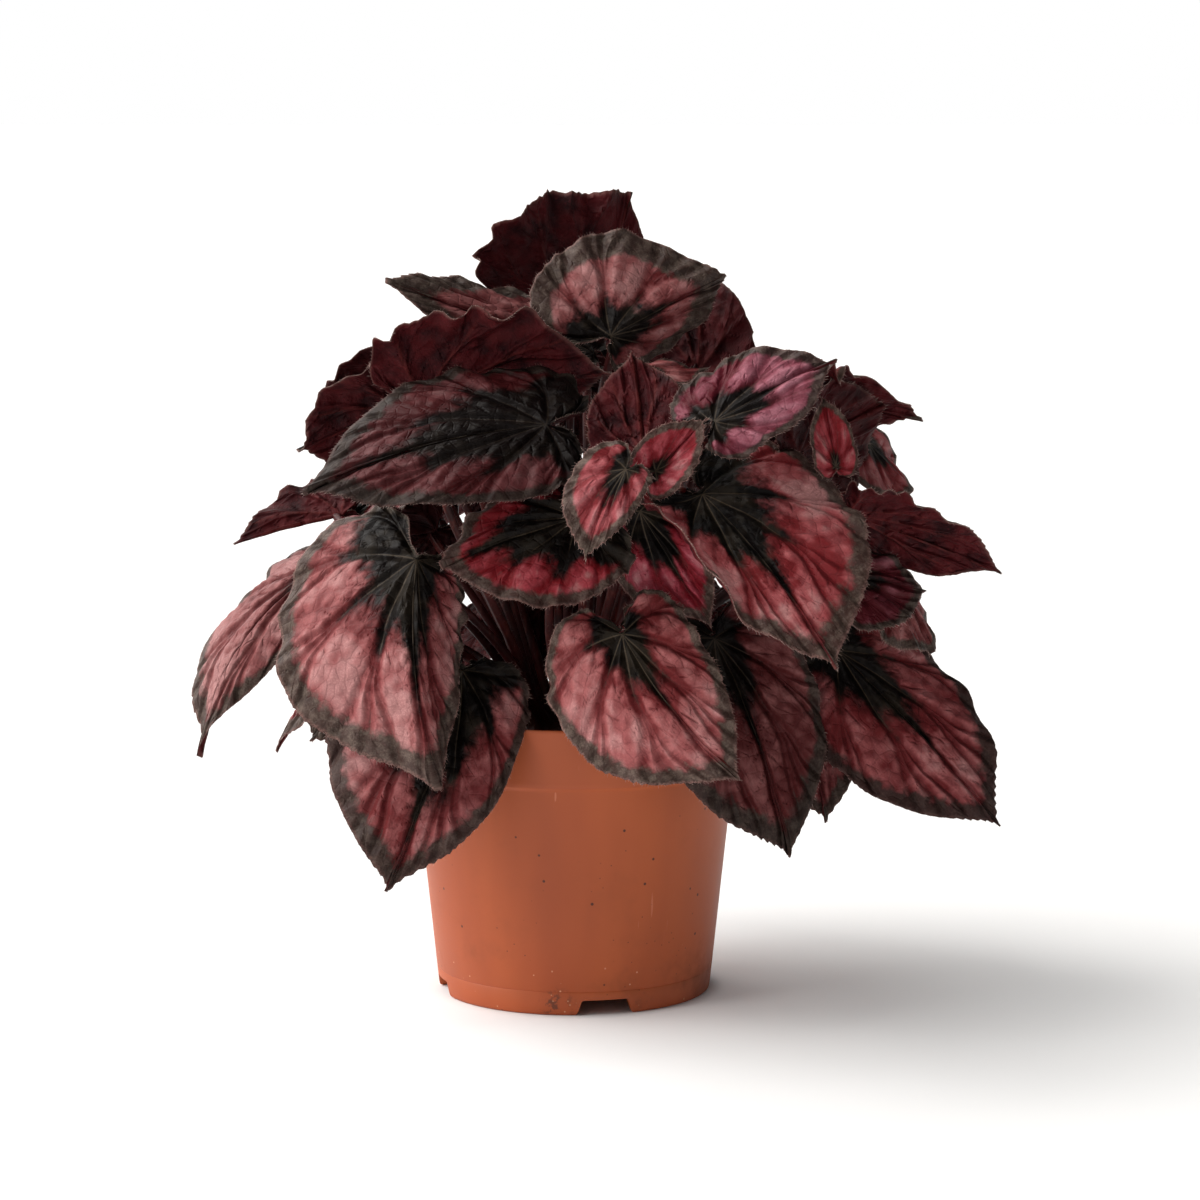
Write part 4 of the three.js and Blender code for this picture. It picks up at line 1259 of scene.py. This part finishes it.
net = pot_net
here = net.here()
level = net.height(here)
flow = net.noise(net.stretched(here, (1.0, 1.0, 0.25)), 22.0, 3.0)
smudge = net.step(net.noise(here, 34.0, 4.0, 0.65), 0.52, 0.72) * (0.25 + net.step(level, 0.03, 0.004) * 0.75)
scratch_map = net.stretched(here, (22.0, 22.0, 1.2), (1.3, 0.25, 0.4))
scratches = (net.step(net.noise(scratch_map, 26.0, 2.0, 0.4), 0.72, 0.76)
             * net.step(net.noise(here, 25.0, 1.0), 0.55, 0.65))
dirt = net.step(net.noise(here, 260.0, 3.0, 0.7), 0.5, 0.62)
grit = net.step(net.cells(here, 420.0), 0.16, 0.1)
specks = net.step(net.cells(here, 112.0), 0.075, 0.045)
small_specks = net.step(net.cells(here, 300.0), 0.1, 0.05) * net.step(net.noise(here, 30.0, 2.0), 0.5, 0.62)
flecks = net.step(net.cells(here, 210.0), 0.09, 0.05) * net.step(level, 0.026, 0.012)
near_notch = 0.0
for aside in DIRT_PLACES:
    spot = (POT_AXIS[0] + aside * MM, POT_AXIS[1] - DIRT_DEPTH, DIRT_HEIGHT)
    near_notch = near_notch + net.fade(net.distance(here, spot), 0.002, 0.0085)

clay = net.mix(net.step(flow, 0.3, 0.7), CLAY_DARK, CLAY)
for share, colour in (
        (net.step(level, 0.0825, 0.0835) * 0.25, CLAY_COLLAR), (near_notch * dirt * 0.75, MUD),
        (near_notch * grit * 0.7, GRIT), (smudge * 0.45, SMUDGE_BROWN), (scratches * 0.35, SCRATCH_PALE),
        (flecks * 0.6, FLECK_PALE), (specks * 0.9, SPECK_DARK), (small_specks * 0.8, SMALL_SPECK_DARK)):
    clay = net.mix(share, clay, colour)
net.dress(Base_Color=clay, Normal=net.bump(net.noise(here, 900.0, 2.0) * 0.3 + flow, 0.12, 0.0005),
          Roughness=0.42 + flow * 0.18 + smudge * 0.2 + scratches * 0.1, Specular_IOR_Level=0.38,
          Subsurface_Weight=0.03, Subsurface_Scale=0.002, Subsurface_Radius=(1.0, 0.5, 0.3))
print("pot finish:", len(pot_finish.node_tree.nodes), "nodes")

# %% [markdown]
# ## Potting soil
#
# Peat soil is nearly black, lumpy and full of small crumbs, with a few pale fibres and grains. The bed
# is a mound with a rough top, and a tree scatters real crumbs over it so that its surface has depth.

# %% Soil bed
SOIL_RIM = 92.0
SOIL_CROWN = 95.0
PIT_RADIUS = 22.3
PIT_FLOOR = 83.7
SOIL_GAP = 0.3
SOIL_STEPS = 120
SOIL_RINGS = 24
ROUGH_FROM = 90.0
PEAT_DARK, PEAT_BROWN, FIBRE_PALE = rgb(12, 8, 6), rgb(46, 32, 24), rgb(110, 82, 58)

soil_finish, net = new_finish("peat soil")
here = net.here()
peat_patch = net.noise(here, 160.0, 4.0, 0.7)
peat = net.mix(net.step(peat_patch, 0.35, 0.7), PEAT_DARK, PEAT_BROWN)
fibre_map = net.stretched(here, (1.0, 6.0, 6.0), (0.2, 0.9, 0.6))
peat = net.mix(net.step(net.noise(fibre_map, 120.0, 2.0), 0.7, 0.76) * 0.7, peat, FIBRE_PALE)
net.dress(Base_Color=peat, Normal=net.bump(peat_patch, 0.8, 0.001), Specular_IOR_Level=0.25,
          Roughness=net.between(peat_patch, 0.8, 0.98))


def soil_outline():
    """Down the middle of the bed's floor, up the pot's wall, and over the mound to the pit."""
    base = FLOOR_TOP + SOIL_GAP
    inside = WALL + SOIL_GAP
    outer = COLLAR_FOOT - inside - 0.2
    outline = [(0, base), (wall_radius(base) - inside - 1.0, base), (wall_radius(20) - inside, 20.0),
               (wall_radius(82) - inside, 82.0), (outer, 86.0)]
    for k in range(SOIL_RINGS):
        r = outer - 0.8 - (outer - 0.8 - PIT_RADIUS) * k / (SOIL_RINGS - 1)
        rise = 1 - (r - PIT_RADIUS) / (outer - PIT_RADIUS)
        outline.append((r, SOIL_RIM + (SOIL_CROWN - SOIL_RIM) * rise))
    return outline + [(PIT_RADIUS, PIT_FLOOR), (0, PIT_FLOOR)]


soil = turned("soil_bed", soil_outline(), SOIL_STEPS, soil_finish)
for vertex in soil.data.vertices:
    if vertex.co.z > ROUGH_FROM * MM:
        spot = Vector((vertex.co.x, vertex.co.y, 0)) * 1000
        vertex.co.z += (0.9 * lumps.noise(spot / 9) + 0.7 * lumps.noise(spot / 2.6) - 0.7) * MM
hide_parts("soil")
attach(soil, "root")
print("soil bed", len(soil.data.polygons), "faces")

# %% Crumbs and pale grains
CRUMBS_ABOVE = 0.088
FULL_TURN = (6.28, 6.28, 6.28)
grain_finish = grainy_finish("pale soil grains", 500.0, 2.0, rgb(120, 100, 80), rgb(196, 186, 170), 0.85)


def crumb_tree(name, finish, seed):
    """Squeezed and turned lumps on every face that looks up, near the top of the bed."""
    net, wires = new_tree(name, {"Density": ("NodeSocketFloat", 1.0), "Size": ("NodeSocketFloat", 1.0 * MM),
                                 "Seed": ("NodeSocketInt", seed)})

    def above(value, limit):
        return net.node("FunctionNodeCompare", {"operation": "GREATER_THAN"}, {0: value, 1: limit})

    on_top = net.node("FunctionNodeBooleanMath", {"operation": "AND"}, {
        0: above(net.height(net.node("GeometryNodeInputNormal")), 0.5),
        1: above(net.height(net.node("GeometryNodeInputPosition")), CRUMBS_ABOVE)})
    spots, _ = spots_on(net, wires, on_top)
    lump = net.node("GeometryNodeMeshIcoSphere", {}, {"Radius": wires["Size"], "Subdivisions": 1}, out="Mesh")
    squeeze = random_vector(net, (0.3, 0.35, 0.25), (1.5, 1.1, 0.8), seed + 2)
    turn = random_vector(net, (0.0, 0.0, 0.0), FULL_TURN, seed + 3)
    return end_tree(net, copy_on(net, spots, lump, turn, squeeze), finish)


crumbs = grow("soil_crumbs", soil.data, crumb_tree("crumbs", soil_finish, 41),
              {"Density": 260000.0, "Size": 1.15 * MM})
grains = grow("soil_grains", soil.data, crumb_tree("grains", grain_finish, 61),
              {"Density": 5000.0, "Size": 0.8 * MM})
for piece in (crumbs, grains):
    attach(piece, "root")

# %% [markdown]
# ## Floor and light
#
# The photograph has a plain white ground. A wide soft light comes from the left and a weaker one from
# behind it, so the leaves on that side glow while the inside of the plant goes almost black, and the
# pot's shadow falls softly to the right. The surroundings are bright near the ground and dim overhead.
# The floor glows faintly too, as white paper does in a bright room, but not where the pot stands: that dark
# disc is painted shade under the pot, seen through the notches.

# %% Floor
FLOOR_REACH = 60000.0
# Where the floor stops glowing, under the pot, is painted shade, so the floor seen through the notches looks
# dark.
FOOT_SHADE = (0.046, 0.056)   # metres from the pot's axis, where the floor stops glowing
floor_finish, net = new_finish("studio floor")
from_pot = net.distance(net.here(), (POT_AXIS[0], POT_AXIS[1], 0.0))
net.dress(Emission_Color=net.mix(net.step(from_pot, *FOOT_SHADE), grey(0.0), grey(1.0)),
          Base_Color=grey(0.88), Roughness=0.9, Specular_IOR_Level=0.0, Emission_Strength=0.13)
corners = [(x * FLOOR_REACH, y * FLOOR_REACH, 0) for x, y in ((-1, -1), (1, -1), (1, 1), (-1, 1))]
floor = make_object("studio_floor", corners, [[0, 1, 2, 3]], [floor_finish], smooth=False)
print("floor laid")

# %% Lights and surroundings
LIGHT_SPREAD = math.radians(58)
LIGHT_COLOUR = (1.0, 0.98, 0.95)
LIGHTS = {"key": ((-1.0, -0.1, 0.85), 3.2), "rim": ((-0.8, 0.9, 0.9), 1.9)}   # where from, and how strong
BRIGHT_SIDE = Vector((-0.95, -0.3, 0.25)).normalized()

for name, (way, power) in LIGHTS.items():
    lamp = put(name, bpy.data.lights.new(name, "SUN"))
    lamp.data.energy = power
    lamp.data.angle = LIGHT_SPREAD
    lamp.data.color = LIGHT_COLOUR
    lamp.rotation_euler = Vector(way).to_track_quat("Z", "Y").to_euler()

studio = bpy.data.worlds.new("studio")
bpy.context.scene.world = studio
studio.use_nodes = True
studio.node_tree.nodes.clear()
net = Net(studio.node_tree)
sky = net.node("ShaderNodeTexCoord", out="Generated")
towards = net.vectors("DOT_PRODUCT", sky, BRIGHT_SIDE, "Value")
dome = net.mix(net.step(towards, -0.2, 1.0), grey(0.05), grey(0.6))
dome = net.mix(net.step(net.height(sky), 0.12, 0.05), dome, grey(1.0))
glow = net.node("ShaderNodeBackground", {}, {"Color": dome, "Strength": 1.0})
net.node("ShaderNodeOutputWorld", {}, {"Surface": glow})
bpy.context.scene.view_settings.view_transform = "Standard"
print(len(LIGHTS), "lights and a bright dome")
